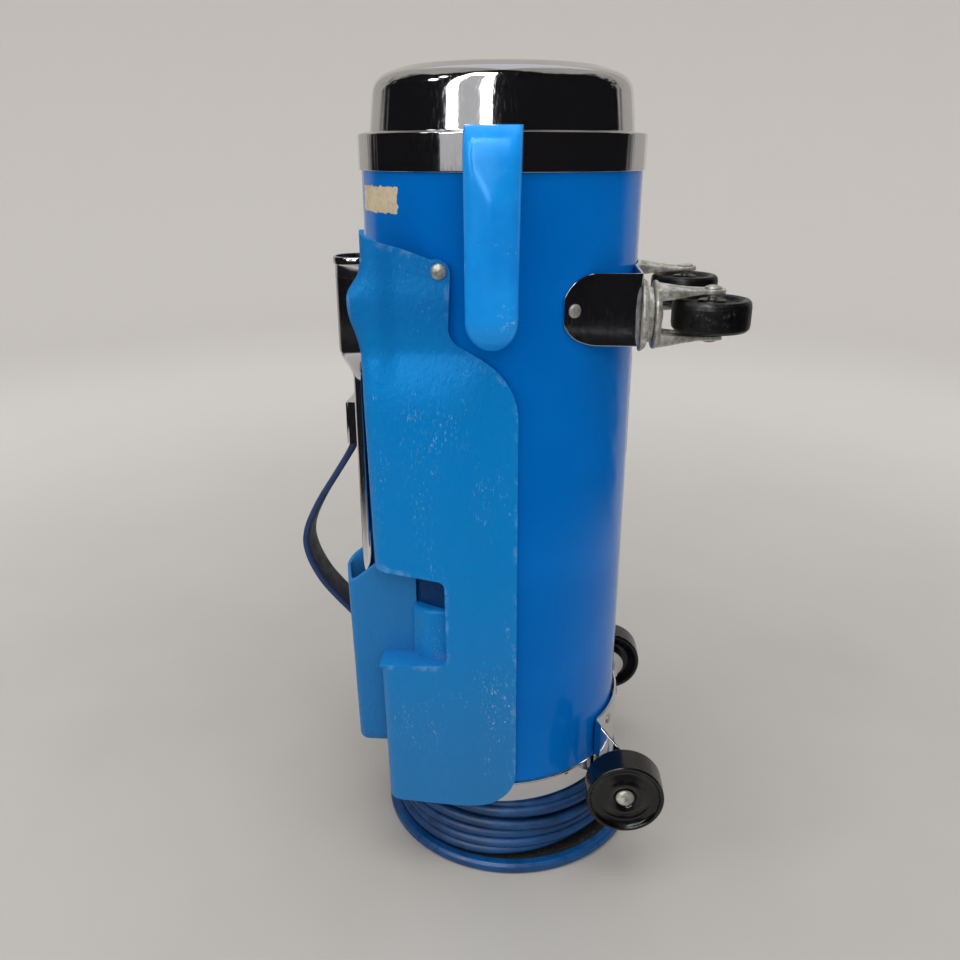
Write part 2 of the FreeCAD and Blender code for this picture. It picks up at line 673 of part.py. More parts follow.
def rear_bracket_rivets():
    rivets = []
    for a in (-24, 0, 24):
        at = polar(PAN_R + 0.2 + REAR_T, a, 106.0)
        rivets.append(domed_head(4.2, 1.8, at, polar(1.0, a)))
    return Part.makeCompound(rivets)


def axle_bolt(side):
    """Headed bolt through the ear, with a nut inside it and a sleeve up to the wheel's hub."""
    def at(y):
        return V(WHEEL_X, y * side, WHEEL_Z)
    bolt = rod(4.0, at(EAR_Y - 7.0), at(WHEEL_FACE - 2.0))
    head = domed_head(7.0, 4.0, at(WHEEL_FACE - 3.2), V(0, side, 0))
    nut = rod(7.0, at(EAR_Y - REAR_T - 5.5), at(EAR_Y - REAR_T))
    sleeve = rod(6.5, at(EAR_Y), at(WHEEL_FACE - WHEEL_W + GAP))
    return fuse([bolt, head, nut, sleeve])


def rear_wheel(side):
    wheel = wheel_solid(WHEEL_R, WHEEL_W, 4.06, 4.6, 10.5)
    wheel.rotate(ORIGIN, V(1, 0, 0), 90)
    wheel.translate(V(WHEEL_X, -(WHEEL_FACE - WHEEL_W), WHEEL_Z))
    room = Part.makeCylinder(7.6, 8.0, V(WHEEL_X, -(WHEEL_FACE - 3.8), WHEEL_Z), V(0, -1, 0))
    wheel = wheel.cut(room)
    return wheel if side < 0 else mirror_y(wheel)


# ---------------------------------------------------------------- strap


def carry_strap():
    curve = Part.BSplineCurve()
    curve.interpolate([V(x, 0, z) for x, z in STRAP_LINE])
    count = 40
    sides = ([], [])
    for i in range(count + 1):
        u = curve.FirstParameter + (curve.LastParameter - curve.FirstParameter) * i / count
        p, t = curve.value(u), curve.tangent(u)[0]
        n = V(-t.z, 0, t.x).normalize() * (STRAP_T / 2.0)
        sides[0].append(p + n)
        sides[1].append(p - n)
    edges = []
    for pts in (sides[0], sides[1][::-1]):
        side = Part.BSplineCurve()
        side.interpolate(pts)
        edges.append(side.toShape())
    ends = [line_edge(sides[0][-1], sides[1][-1]), line_edge(sides[1][0], sides[0][0])]
    face = Part.Face(Part.Wire([edges[0], ends[0], edges[1], ends[1]]))
    face.translate(V(0, -STRAP_W / 2.0, 0))
    return face.extrude(V(0, STRAP_W, 0))


def strap_clip(z0, closed_end):
    """Pressed chrome cap over one end of the strap, open where the strap comes out."""
    half, z1 = STRAP_W / 2.0 + 2.4, z0 + CLIP_H
    cap = block(CLIP_X, -98.0, -half, half, z0, z1)
    rim = [e for e in cap.Edges if e.BoundBox.XMax < CLIP_X + 0.1]
    cap = cap.makeFillet(2.2, rim)
    low, high = (z0 - 5, z1 - 1.6) if closed_end > 0 else (z0 + 1.6, z1 + 5)
    hollow = block(CLIP_X + 1.4, -90.0, -half + 1.5, half - 1.5, low, high)
    return cap.cut(hollow).cut(cyl(TANK_R + 0.1, z0 - 10, z1 + 10))


def strap_clips():
    clips = [strap_clip(STRAP_TOP_Z - 31.0, 1), strap_clip(STRAP_LOW_Z - 3.0, -1)]
    return Part.makeCompound(clips)


def strap_spacers(strap):
    spacers = []
    for z0 in (STRAP_TOP_Z - 24.0, STRAP_LOW_Z - 1.0):
        spacer = block(STRAP_X + 2.0, -95.0, -14.0, 14.0, z0, z0 + 25.0)
        spacers.append(spacer.cut(cyl(TANK_R + 0.05, z0 - 5, z0 + 30)).cut(strap))
    return Part.makeCompound(spacers)


def strap_screws():
    heads = [domed_head(4.5, 2.6, V(CLIP_X, 0, z), V(-1, 0, 0))
             for z in (STRAP_TOP_Z - 11.0, STRAP_LOW_Z + 11.0)]
    return Part.makeCompound(heads)


# ---------------------------------------------------------------- tool caddy
def front_y(x, z):
    """Outer face of the caddy's front: flat, easing towards the tank at its free edge."""
    shoulder = smooth((z - SHOULDER_Z0) / (SHOULDER_Z1 - SHOULDER_Z0))
    proud = FRONT_LOW + (FRONT_HIGH - FRONT_LOW) * shoulder + 1.5 * hood(z)
    ease = smooth((x + 34.0) / 54.0)
    return -(proud - (proud - 103.0) * ease)


def hood(z):
    """Swelling round the thick end of the crevice tool, 0 to 1."""
    width = 24.0 if z < 462.0 else 9.5
    return math.exp(-((z - 462.0) / width) ** 2)


def corner_x(z):
    return -(80.5 + 0.0225 * (min(z, 430.0) - 62.0) + 10.5 * hood(z) - 1.5 * smooth((z - 470) / 20))


def panel_section(z, inset):
    """Plan points from the free edge, along the front, round the corner, to the lip's end."""
    r = 10.0
    cx, cy = corner_x(z) + r, front_y(-80.0, z) + r
    pts = []
    for i in range(9):
        x = 24.0 + (cx - 24.0) * i / 9.0
        pts.append(V(x, front_y(x, z) + inset, z))
    for i in range(5):
        a = math.radians(270.0 - 22.5 * i)
        pts.append(V(cx + (r - inset) * math.cos(a), cy + (r - inset) * math.sin(a), z))
    lip = 1.5 + 12.0 * smooth((440.0 - z) / 50.0)
    pts.append(V(corner_x(z) + inset, cy + lip * 0.5, z))
    pts.append(V(corner_x(z) + inset + 0.3, cy + lip, z))
    return pts


def panel_sheet():
    """Closed thin shell through sections at even heights."""
    wires = []
    heights = [56.0, 110.0, 170.0, 230.0, 290.0, 340.0, 372.0, 388.0, 404.0, 420.0, 434.0,
               446.0, 456.0, 464.0, 472.0, 480.0, 490.0, 502.0, 514.0]
    for z in heights:
        outer, inner = panel_section(z, 0.0), panel_section(z, PANEL)[::-1]
        curves = []
        for pts in (outer, inner):
            c = Part.BSplineCurve()
            c.interpolate(pts)
            curves.append(c.toShape())
        wires.append(Part.Wire([curves[0], line_edge(outer[-1], inner[0]), curves[1],
                                line_edge(inner[-1], outer[0])]))
    return Part.makeLoft(wires, True, False)


def panel_outline():
    """Front outline of the caddy: sloping top, waist, round shoulder, long lower panel."""
    y = -140.0
    big = (-30.0, 381.0, 47.0)
    small = (-16.0, 442.6, 14.0)
    low = (-9.0, 92.5, 28.0)
    top = (-37.4, 477.6, 9.0)
    a_top = 110.0
    arcs = [arc_edge(*low, -90, 0, y), arc_edge(*big, 0, 62, y), arc_edge(*small, 242, 180, y),
            arc_edge(*top, 0, a_top, y)]
    left_top, left_low = V(-130.0, y, 521.0), V(-130.0, y, 73.5)
    edges = [arcs[0]]
    for nxt in arcs[1:]:
        edges.append(line_edge(edges[-1].valueAt(edges[-1].LastParameter),
                               nxt.valueAt(nxt.FirstParameter)))
        edges.append(nxt)
    end = edges[-1].valueAt(edges[-1].LastParameter)
    start = edges[0].valueAt(edges[0].FirstParameter)
    edges += [line_edge(end, left_top), line_edge(left_top, left_low), line_edge(left_low, start)]
    face = Part.Face(Part.Wire(edges))
    return face.extrude(V(0, 70, 0))


def notch_prism(y0, y1):
    return prism([V(x, y0, z) for x, z in NOTCH], V(0, y1 - y0, 0))


def caddy_panel():
    panel = panel_sheet().common(panel_outline()).cut(notch_prism(-140.0, -60.0))
    clear = cyl(TANK_R + 0.25, 40, 540)
    shelf = block(-84.0, -30.0, -106.5, -70.0, 187.0, 190.4)
    wall = block(-32.8, -29.8, -106.5, -70.0, 187.0, 264.0)
    step = prism([V(x, y, 190.0) for x, y in ((-32.0, -96.6), (-46.0, -96.4), (-52.0, -94.0), (-60.0, -87.0),
                                              (-60.0, -70.0), (-32.0, -70.0))], V(0, 0, STEP_Z - 190.0))
    x, z = FLAP_SCREW
    boss = rod(6.0, V(x, front_y(x, z) + 1.0, z), V(x, -80, z))
    room = block(-120.0, -60.0, -84.0, -40.0, 100.0, 300.0)
    inner = [shape.cut(clear).cut(room) for shape in (shelf, wall, step, boss)]
    pan_room = ring(TANK_R - 5, PAN_R + 0.25, PAN_Z0 - 5, PAN_Z1 + 0.2)
    tool_room = cyl(TOOL_R + 0.9 + GAP, 400, 530, *TOOL)
    return fuse([panel] + inner).cut(pan_room).cut(tool_room)


def caddy_screws():
    x, z = FLAP_SCREW
    heads = [domed_head(5.2, 3.0, V(x, front_y(x, z), z), V(0, -1, 0))]
    for z in TAB_HEIGHTS:
        at = polar(TANK_R + 2.8, TAB_ANGLE, z)
        heads.append(domed_head(4.6, 2.4, at, polar(1.0, TAB_ANGLE)))
    return Part.makeCompound(heads)


def pocket_top(x, y):
    return 246.5 + 0.82 * (x + 108.2) + 0.43 * (y + 84.0)


def pocket_block(inset, floor):
    """Tapered box between the caddy's front and the tank, with a sloping mouth."""
    def corners(z, grow):
        return [V(-58.0 - inset, POCKET_FRONT + inset, z), V(-106.0 - grow + inset, POCKET_FRONT + inset, z),
                V(-113.0 - grow + inset, POCKET_BACK - inset, z), V(-58.0 - inset, POCKET_BACK - inset, z)]
    low = Part.makePolygon(corners(floor, 0.0) + [corners(floor, 0.0)[0]])
    high = Part.makePolygon(corners(300.0, 4.0) + [corners(300.0, 4.0)[0]])
    return Part.makeLoft([low, high], True, True)


def tool_pocket():
    body = pocket_block(0.0, 106.0)
    edges = [e for e in body.Edges if e.BoundBox.XMax < -100 and e.BoundBox.ZMax - e.BoundBox.ZMin > 100]
    body = body.makeFillet(6.0, edges)
    body = body.cut(pocket_block(2.6, 112.0).common(block(-130, -84.0, -100, 0, 0, 400)))
    mouth = [V(x, -120, pocket_top(x, POCKET_FRONT)) for x in (-130.0, -70.0)]
    slope = V(0, 100, 43.0)
    plane = Part.Face(Part.makePolygon([mouth[0], mouth[1], mouth[1] + V(0, 0, 120), mouth[0] + V(0, 0, 160),
                                        mouth[0]]))
    lift = V(0, -120 - POCKET_FRONT, 0.43 * (-120 - POCKET_FRONT))
    plane.translate(V(0, 0, lift.z))
    body = body.cut(plane.extrude(slope))
    body = body.cut(block(-90, -50, -120, 0, 286, 320))
    tabs = []
    for z in TAB_HEIGHTS:
        wedge = [V(0, 0, z - 9.0)] + [polar(140, a, z - 9.0) for a in (-143.0, -148.0, -155.0, -163.0)]
        tabs.append(ring(TANK_R + 0.25, TANK_R + 2.8, z - 9.0, z + 9.0)
                    .common(prism(wedge, V(0, 0, 18.0))))
    return fuse([body.cut(cyl(TANK_R + 0.25, 90, 320))] + tabs)


# ---------------------------------------------------------------- crevice tool
def crevice_tool():
    """Round socket end that narrows to a long flat nozzle."""
    def body(shrink, z_top, z_tip):
        round_end = Part.Wire(Part.makeCircle(TOOL_R - shrink, V(TOOL[0], TOOL[1], 424.0)))
        cx, cy, hx, hy = -94.2, -68.0, 6.2 - shrink, 12.4 - shrink
        wires = []
        for z in (404.0, z_tip):
            grow = 1.0 if z > 400 else 0.94
            ellipse = Part.Ellipse(V(cx, cy, z), hy * grow, hx * grow)
            edge = ellipse.toShape()
            edge.rotate(V(cx, cy, z), UP, 90)
            wires.append(Part.Wire(edge))
        neck = Part.makeLoft([round_end, wires[0]], True, True)
        nozzle = Part.makeLoft(wires, True, True)
        return fuse([cyl(TOOL_R - shrink, 424.0, z_top, *TOOL), neck, nozzle])
    outer = body(0.0, TOOL_TOP, TOOL_TIP)
    rim = ring(TOOL_R, TOOL_R + 0.9, TOOL_TOP - 5.0, TOOL_TOP, *TOOL)
    return outer.fuse(rim).removeSplitter().cut(body(1.0, TOOL_TOP + 5, TOOL_TIP - 5))


# ---------------------------------------------------------------- labels
def curved_label(a0, a1, z0, z1):
    """Thin sheet on the tank between two angles from +X."""
    skin = ring(TANK_R + 0.05, TANK_R + 0.3, z0, z1)
    mid, half = (a0 + a1) / 2.0, (a1 - a0) / 2.0
    wedge = [V(0, 0, z0 - 1)] + [polar(160, mid + half * s, z0 - 1) for s in (-1, -0.5, 0, 0.5, 1)]
    return skin.common(prism(wedge, V(0, 0, z1 - z0 + 2)))


def paper_label():
    return curved_label(-156.0, -128.0, 511.5, 528.0)


def rating_plate():
    return curved_label(-6.0, 16.0, 330.0, 408.0)


# ---------------------------------------------------------------- all parts
def main():
    os.makedirs("parts", exist_ok=True)
    left_lug, left_handle, left_pad = latch_lug(), latch_handle(), clamp_pad()
    panel, strap, tail, bracket = caddy_panel(), carry_strap(), cord_tail(), caster_bracket()
    parts = {
        "canister_shell": tank_shell(), "bottom_pan": bottom_pan(), "exhaust_core": exhaust_core(),
        "base_disc": base_disc(), "base_bumper": base_bumper(), "base_screws": base_screws(),
        "lid_shell": lid_shell(), "lid_gasket": lid_gasket(), "hose_collar": hose_collar(),
        "latch_lugs": both_sides(left_lug), "latch_pins": both_sides(latch_pin()),
        "left_latch_handle": left_handle, "right_latch_handle": mirror_y(left_handle),
        "left_clamp_pad": left_pad, "right_clamp_pad": mirror_y(left_pad),
        "cord_winding": cord_winding(), "cord_tail": tail, "strain_relief": strain_relief(),
        "plug_body": plug_body().cut(tail), "plug_blades": plug_blades(),
        "bag_ring": bag_ring(), "bag_collar": bag_collar(), "dust_bag": dust_bag(),
        "motor_filter": motor_filter(), "motor_deck": motor_deck(),
        "motor_mount_ring": motor_mount_ring(), "fan_housing": fan_housing(),
        "vane_plate": vane_plate(), "fan_wheels": fan_wheels(), "motor_shaft": motor_shaft(),
        "armature": armature(), "commutator": commutator(), "field_core": field_core(),
        "field_windings": field_windings(), "motor_frame": motor_frame(),
        "motor_bearings": motor_bearings(), "brush_holders": brush_holders(),
        "switch_body": switch_body(), "switch_toggle": switch_toggle(),
        "caster_bracket": bracket,
        "caster_bracket_rivets": caster_bracket_rivets().cut(bracket),
        "caster_races": Part.makeCompound([caster_race(-1), caster_race(1)]),
        "rear_bracket": rear_bracket(), "rear_bracket_rivets": rear_bracket_rivets(),
        "axle_bolts": Part.makeCompound([axle_bolt(-1), axle_bolt(1)]),
        "left_rear_wheel": rear_wheel(-1), "right_rear_wheel": rear_wheel(1),
        "carry_strap": strap, "strap_clips": strap_clips().cut(strap),
        "strap_spacers": strap_spacers(strap), "strap_screws": strap_screws(),
        "caddy_panel": panel, "caddy_screws": caddy_screws().cut(panel),
        "tool_pocket": tool_pocket().cut(panel),
        "crevice_tool": crevice_tool(), "labels": Part.makeCompound([paper_label(), rating_plate()]),
    }
    for side, name in ((-1, "left"), (1, "right")):
        parts[name + "_caster_fork"] = Part.makeCompound([caster_fork(side), caster_axle(side)])
        parts[name + "_caster_wheel"] = caster_wheel(side)
    for name, shape in parts.items():
        save(name, shape)
    print(len(parts), "nodes")


main()
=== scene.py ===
"""Looks of the tank vacuum cleaner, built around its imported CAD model.

Shapes are worked out in millimetres in the row frame and turned to metres when a mesh is made.
+X is the side with the casters, -X the strap's, -Y the caddy's, as in the CAD.
"""
import json
from math import acos, atan2, ceil, cos, exp, hypot, log, pi, radians, sin, sqrt, tan

import bmesh
import bpy
import numpy as np
from mathutils import Matrix, Vector, noise
from mathutils.geometry import delaunay_2d_cdt


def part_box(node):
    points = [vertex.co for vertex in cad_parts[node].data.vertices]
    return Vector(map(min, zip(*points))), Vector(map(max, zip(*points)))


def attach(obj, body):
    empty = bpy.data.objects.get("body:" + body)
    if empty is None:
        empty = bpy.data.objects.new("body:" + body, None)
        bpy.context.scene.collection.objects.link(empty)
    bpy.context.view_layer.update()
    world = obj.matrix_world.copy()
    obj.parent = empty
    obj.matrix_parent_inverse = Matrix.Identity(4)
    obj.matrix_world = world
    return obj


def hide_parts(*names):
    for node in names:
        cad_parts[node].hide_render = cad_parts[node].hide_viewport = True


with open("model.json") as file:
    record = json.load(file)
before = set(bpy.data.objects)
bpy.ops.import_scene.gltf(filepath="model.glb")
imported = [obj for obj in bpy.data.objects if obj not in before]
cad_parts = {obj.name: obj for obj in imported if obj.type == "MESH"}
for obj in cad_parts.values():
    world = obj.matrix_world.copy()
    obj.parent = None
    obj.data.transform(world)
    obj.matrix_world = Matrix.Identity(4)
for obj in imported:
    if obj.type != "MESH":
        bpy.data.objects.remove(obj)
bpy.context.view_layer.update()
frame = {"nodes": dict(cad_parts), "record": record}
MM = 0.001
TAU = 2.0 * pi


# ---------------------------------------------------------------- sizes read from the frame
class Span:
    """Box of a CAD node in millimetres: its ends, its middle and its radius in plan."""

    def __init__(self, node):
        low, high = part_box(node)
        self.x0, self.y0, self.z0 = (c / MM for c in low)
        self.x1, self.y1, self.z1 = (c / MM for c in high)
        self.x, self.y = (self.x0 + self.x1) / 2, (self.y0 + self.y1) / 2
        self.r = (self.x1 - self.x0) / 2


TANK, PAN, LID, DISC, RIM, WIND, GRIP, COLLAR = (Span(node) for node in (
    "canister_shell", "bottom_pan", "lid_shell", "base_disc", "base_bumper", "cord_winding",
    "left_latch_handle", "hose_collar"))
CORD_R = 4.25


# ---------------------------------------------------------------- camera
def placed(name, data):
    """New object of the scene."""
    piece = bpy.data.objects.new(name, data)
    bpy.context.scene.collection.objects.link(piece)
    return piece


def aimed(name, data, at, look):
    """New camera or lamp at a point in metres, that looks along a direction."""
    thing = placed(name, data)
    thing.location = at
    thing.rotation_mode = "QUATERNION"
    thing.rotation_quaternion = look.to_track_quat("-Z", "Y")
    return thing


def make_camera():
    """Camera solved from the tank's ellipses and edges in the photo."""
    turn, dip, focal_length, film_width = radians(3.84), radians(20.37), 33.19, 36.0
    look = Vector((-sin(turn) * cos(dip), cos(turn) * cos(dip), -sin(dip)))
    data = bpy.data.cameras.new("camera")
    data.lens, data.sensor_width = focal_length, film_width
    data.clip_start, data.clip_end = 0.02, 60.0
    bpy.context.scene.camera = aimed("camera", data, (0.0295, -0.6735, 0.5513), look)


# ---------------------------------------------------------------- materials
def srgb(r, g, b):
    """Linear colour of an 8-bit sRGB one."""
    def one(c):
        c /= 255.0
        return c / 12.92 if c <= 0.04045 else ((c + 0.055) / 1.055) ** 2.4
    return (one(r), one(g), one(b), 1.0)


WHITE, BLACK = (1.0, 1.0, 1.0, 1.0), (0.0, 0.0, 0.0, 1.0)


class Paint:
    """A material's node tree with short words for the nodes that these finishes use."""

    def __init__(self, name, color, metallic=0.0, roughness=0.5, specular=0.5, tint=WHITE):
        self.material = bpy.data.materials.new(name)
        self.material.use_nodes = True
        self.nodes, self.links = self.material.node_tree.nodes, self.material.node_tree.links
        self.shader = self.nodes["Principled BSDF"]
        self.place = self.nodes.new("ShaderNodeTexCoord").outputs["Object"]
        for socket, value in (("Base Color", color), ("Metallic", metallic), ("Roughness", roughness),
                              ("Specular IOR Level", specular), ("Specular Tint", tint)):
            self.shader.inputs[socket].default_value = value
        self.bump_from = None

    def node(self, kind, **values):
        made = self.nodes.new(kind)
        for key, value in values.items():
            if key in made.inputs.keys():
                made.inputs[key].default_value = value
            else:
                setattr(made, key, value)
        return made

    def link(self, out, into):
        self.links.new(out, into)

    def stretched(self, x, y, z):
        scaled = self.node("ShaderNodeMapping")
        scaled.inputs["Scale"].default_value = (x, y, z)
        self.link(self.place, scaled.inputs["Vector"])
        return scaled.outputs["Vector"]

    def noise(self, scale, detail=4.0, roughness=0.6, distortion=0.0, at=None):
        made = self.node("ShaderNodeTexNoise", Scale=scale, Detail=detail, Roughness=roughness,
                         Distortion=distortion)
        self.link(at or self.place, made.inputs["Vector"])
        return made.outputs["Fac"]

    def cells(self, scale):
        made = self.node("ShaderNodeTexVoronoi", Scale=scale)
        self.link(self.place, made.inputs["Vector"])
        return made.outputs["Distance"]

    def bands(self, direction, scale):
        made = self.node("ShaderNodeTexWave", wave_type="BANDS", bands_direction=direction, Scale=scale)
        self.link(self.place, made.inputs["Vector"])
        return made.outputs["Fac"]

    def steps(self, value, low, high, a=0.0, b=1.0):
        """value's range low..high turned to a..b, smoothly and clamped."""
        made = self.node("ShaderNodeMapRange", interpolation_type="SMOOTHSTEP")
        for socket, number in (("From Min", low), ("From Max", high), ("To Min", a), ("To Max", b)):
            made.inputs[socket].default_value = number
        self.link(value, made.inputs["Value"])
        return made.outputs["Result"]

    def blots(self, scale, detail, low, high, a=0.0, b=1.0, rough=0.6):
        """Noise with its range low..high turned to a..b."""
        return self.steps(self.noise(scale, detail, rough), low, high, a, b)

    def maths(self, operation, a, b):
        made = self.node("ShaderNodeMath", operation=operation, use_clamp=False)
        for i, value in enumerate((a, b)):
            if isinstance(value, (int, float)):
                made.inputs[i].default_value = value
            else:
                self.link(value, made.inputs[i])
        return made.outputs[0]

    def times(self, a, b):
        return self.maths("MULTIPLY", a, b)

    def plus(self, a, b):
        return self.maths("ADD", a, b)

    def from_axis(self):
        """Distance from the Z axis, in metres."""
        x, y = self.part_of_place("X"), self.part_of_place("Y")
        return self.maths("SQRT", self.plus(self.times(x, x), self.times(y, y)), 0.0)

    def mix(self, share, a, b):
        """Colour a where share is 0 and b where it is 1."""
        made = self.node("ShaderNodeMix", data_type="RGBA")
        self.link(share, made.inputs[0])
        for socket, value in ((made.inputs[6], a), (made.inputs[7], b)):
            if isinstance(value, tuple):
                socket.default_value = value
            else:
                self.link(value, socket)
        return made.outputs[2]

    def part_of_place(self, axis):
        made = self.node("ShaderNodeSeparateXYZ")
        self.link(self.place, made.inputs[0])
        return made.outputs[axis]

    def facing_up(self):
        made = self.node("ShaderNodeSeparateXYZ")
        self.link(self.nodes.new("ShaderNodeNewGeometry").outputs["Normal"], made.inputs[0])
        return made.outputs["Z"]

    def edges(self, low, high):
        """1 on convex edges, 0 on flats."""
        return self.steps(self.nodes.new("ShaderNodeNewGeometry").outputs["Pointiness"], low, high)

    def color(self, out):
        self.link(out, self.shader.inputs["Base Color"])
        return self

    def roughness(self, out):
        self.link(out, self.shader.inputs["Roughness"])
        return self

    def shines(self, strength):
        self.shader.inputs["Emission Color"].default_value = WHITE
        self.shader.inputs["Emission Strength"].default_value = strength
        return self.material

    def bump(self, height, distance, strength=1.0):
        """Adds a height map on top of those already there. distance is its depth in millimetres."""
        made = self.node("ShaderNodeBump", Strength=strength, Distance=distance * MM)
        self.link(height, made.inputs["Height"])
        if self.bump_from:
            self.link(self.bump_from, made.inputs["Normal"])
        self.bump_from = made.outputs["Normal"]
        self.link(self.bump_from, self.shader.inputs["Normal"])
        return self


def scratches(paint, scale, low, high, stretch):
    """Thin marks that run up and down: 1 on the mark."""
    return paint.steps(paint.noise(scale, 2.0, 0.5, 0.3, paint.stretched(1.0, 1.0, stretch)), low, high)


def enamel():
    deep, light = srgb(0, 101, 188), srgb(4, 109, 198)
    p = Paint("tank_enamel", deep, roughness=0.2, specular=0.45, tint=srgb(60, 160, 220))
    p.color(p.mix(p.blots(6.0, 3.0, 0.35, 0.65), deep, light))
    marks = scratches(p, 260.0, 0.72, 0.76, 0.05)
    p.roughness(p.plus(p.blots(40.0, 5.0, 0.3, 0.8, 0.1, 0.2),
                        p.times(marks, 0.25)))
    return p.bump(p.noise(900.0, 2.0), 0.008).bump(p.noise(9.0, 2.0), 0.4, 0.3).material


def chrome(name="chrome", haze=0.05, dirt=0.25):
    bright, dull = srgb(214, 214, 216), srgb(150, 148, 142)
    p = Paint(name, bright, metallic=1.0, roughness=haze)
    stains = p.blots(55.0, 8.0, 0.62, 0.8, rough=0.7)
    p.color(p.mix(p.times(stains, dirt), bright, dull))
    fine = p.noise(700.0, 3.0, 0.7, 0.0, p.stretched(1.0, 1.0, 0.2))
    p.roughness(p.plus(p.steps(fine, 0.45, 0.75, haze, haze + 0.1),
                        p.times(stains, 0.22)))
    return p.bump(p.noise(14.0, 2.0), 0.25, 0.3).bump(fine, 0.006, 0.5).material


def zinc():
    grey, dark = srgb(222, 221, 213), srgb(146, 145, 137)
    p = Paint("zinc", grey, metallic=0.6, roughness=0.4)
    mottle = p.blots(130.0, 7.0, 0.36, 0.66, rough=0.7)
    p.color(p.mix(mottle, dark, grey))
    p.roughness(p.blots(160.0, 5.0, 0.3, 0.7, 0.34, 0.56))
    return p.bump(p.noise(420.0, 4.0), 0.03).bump(p.noise(60.0, 2.0), 0.2, 0.3).material


def black_plastic(name, dust, gloss):
    black, grey = srgb(9, 9, 10), srgb(105, 104, 104)
    p = Paint(name, black, roughness=gloss)
    scuffs = p.times(p.blots(320.0, 9.0, 0.52, 0.78, rough=0.8),
                     p.blots(38.0, 4.0, 0.4, 0.65))
    p.color(p.mix(p.times(scuffs, dust), black, grey))
    p.roughness(p.blots(90.0, 6.0, 0.3, 0.7, gloss - 0.06, gloss + 0.1))
    return p.bump(p.noise(700.0, 4.0), 0.02).material


def moulded(name, low_color, high_color, wear):
    """Grained plastic, scuffed white where it rubs on things. Its pale edges are edge wear and a painted rim
    highlight; above 0.40 m it is darkened by painted shade.
    """
    worn = srgb(188, 214, 232)
    p = Paint(name, high_color, roughness=0.4, specular=0.6, tint=srgb(84, 176, 240))
    height = p.steps(p.part_of_place("Z"), 0.07, 0.30)
    tone = p.mix(height, low_color, high_color)
    # Painted shade: above 0.40–0.46 m the tone turns darker, for the upper flap that faces down, away from
    # the light.
    tone = p.mix(p.steps(p.part_of_place("Z"), 0.40, 0.46, 0.0, 0.8), tone, srgb(0, 104, 172))
    tone = p.mix(p.blots(7.0, 4.0, 0.3, 0.75, 0.0, 0.28), tone, low_color)
    grain = p.noise(330.0, 3.0, 0.55, 0.6, p.stretched(1.0, 1.0, 0.62))
    flecks = p.steps(p.noise(760.0, 6.0, 0.75, 0.4, p.stretched(1.0, 1.0, 0.3)), 0.58, 0.66)
    patch = p.steps(p.noise(20.0, 3.0, 0.5, 0.0, p.stretched(1.6, 1.0, 0.5)), 0.50, 0.66)
    patch = p.times(patch, p.steps(p.part_of_place("X"), -0.05, -0.01, 0.3, 1.0))
    marks = p.times(scratches(p, 700.0, 0.66, 0.76, 0.25),
                    p.blots(24.0, 3.0, 0.54, 0.66, 0.0, 0.6))
    rubbed = p.times(p.maths("MAXIMUM", p.times(flecks, patch), marks), wear)
    # Pale convex edges: edge wear together with a painted rim highlight.
    edge = p.times(p.edges(0.56, 0.70), p.blots(70.0, 5.0, 0.5, 0.72, 0.0, 0.22 * wear))
    p.color(p.mix(p.maths("MAXIMUM", rubbed, edge), tone, worn))
    p.roughness(p.steps(grain, 0.35, 0.7, 0.34, 0.46))
    return p.bump(grain, 0.7, 0.9).bump(p.noise(12.0, 2.0), 0.5, 0.3).material


def grip_plastic():
    clear, deep, worn = srgb(24, 150, 238), srgb(14, 136, 226), srgb(190, 205, 222)
    p = Paint("grip_gloss", clear, roughness=0.2, specular=0.6, tint=srgb(150, 205, 250))
    tone = p.mix(p.blots(24.0, 3.0, 0.35, 0.7), clear, deep)
    rub = p.times(p.blots(230.0, 8.0, 0.56, 0.66, rough=0.8),
                  p.blots(45.0, 3.0, 0.56, 0.68))
    p.color(p.mix(rub, tone, worn))
    p.roughness(p.plus(p.blots(60.0, 5.0, 0.3, 0.7, 0.14, 0.26),
                        p.times(rub, 0.3)))
    return p.bump(p.noise(20.0, 2.0), 0.5, 0.25).bump(p.noise(600.0, 3.0), 0.01).material


def vinyl(name, color, dark, roughness=0.42, grain=520.0, dust=0.0):
    p = Paint(name, color, roughness=roughness)
    tone = p.mix(p.blots(30.0, 5.0, 0.3, 0.7), dark, color)
    if dust:
        up = p.times(p.steps(p.facing_up(), 0.2, 0.9), p.blots(260.0, 8.0, 0.45, 0.75, rough=0.8))
        tone = p.mix(p.times(up, dust), tone, srgb(150, 146, 138))
    p.color(tone)
    p.roughness(p.blots(120.0, 4.0, 0.3, 0.7, roughness - 0.08, roughness + 0.12))
    return p.bump(p.noise(grain, 4.0), 0.03).material


def strap_vinyl():
    """Ribbed vinyl with paler welts along its edges."""
    p = Paint("strap_vinyl", srgb(38, 74, 128), roughness=0.45)
    ribs = p.bands("Y", 160.0)
    tone = p.mix(p.blots(60.0, 5.0, 0.3, 0.7), srgb(26, 60, 110), srgb(18, 48, 92))
    p.color(p.mix(p.edges(0.52, 0.6), tone, srgb(60, 96, 150)))
    p.roughness(p.blots(200.0, 4.0, 0.3, 0.7, 0.38, 0.58))
    return p.bump(ribs, 0.05, 0.5).bump(p.noise(600.0, 4.0), 0.04).material


def old_paper(name, color, stain, depth=0.04):
    p = Paint(name, color, roughness=0.8)
    blots = p.blots(120.0, 8.0, 0.45, 0.75, rough=0.75)
    p.color(p.mix(blots, color, stain))
    return p.bump(p.noise(300.0, 6.0), depth).material


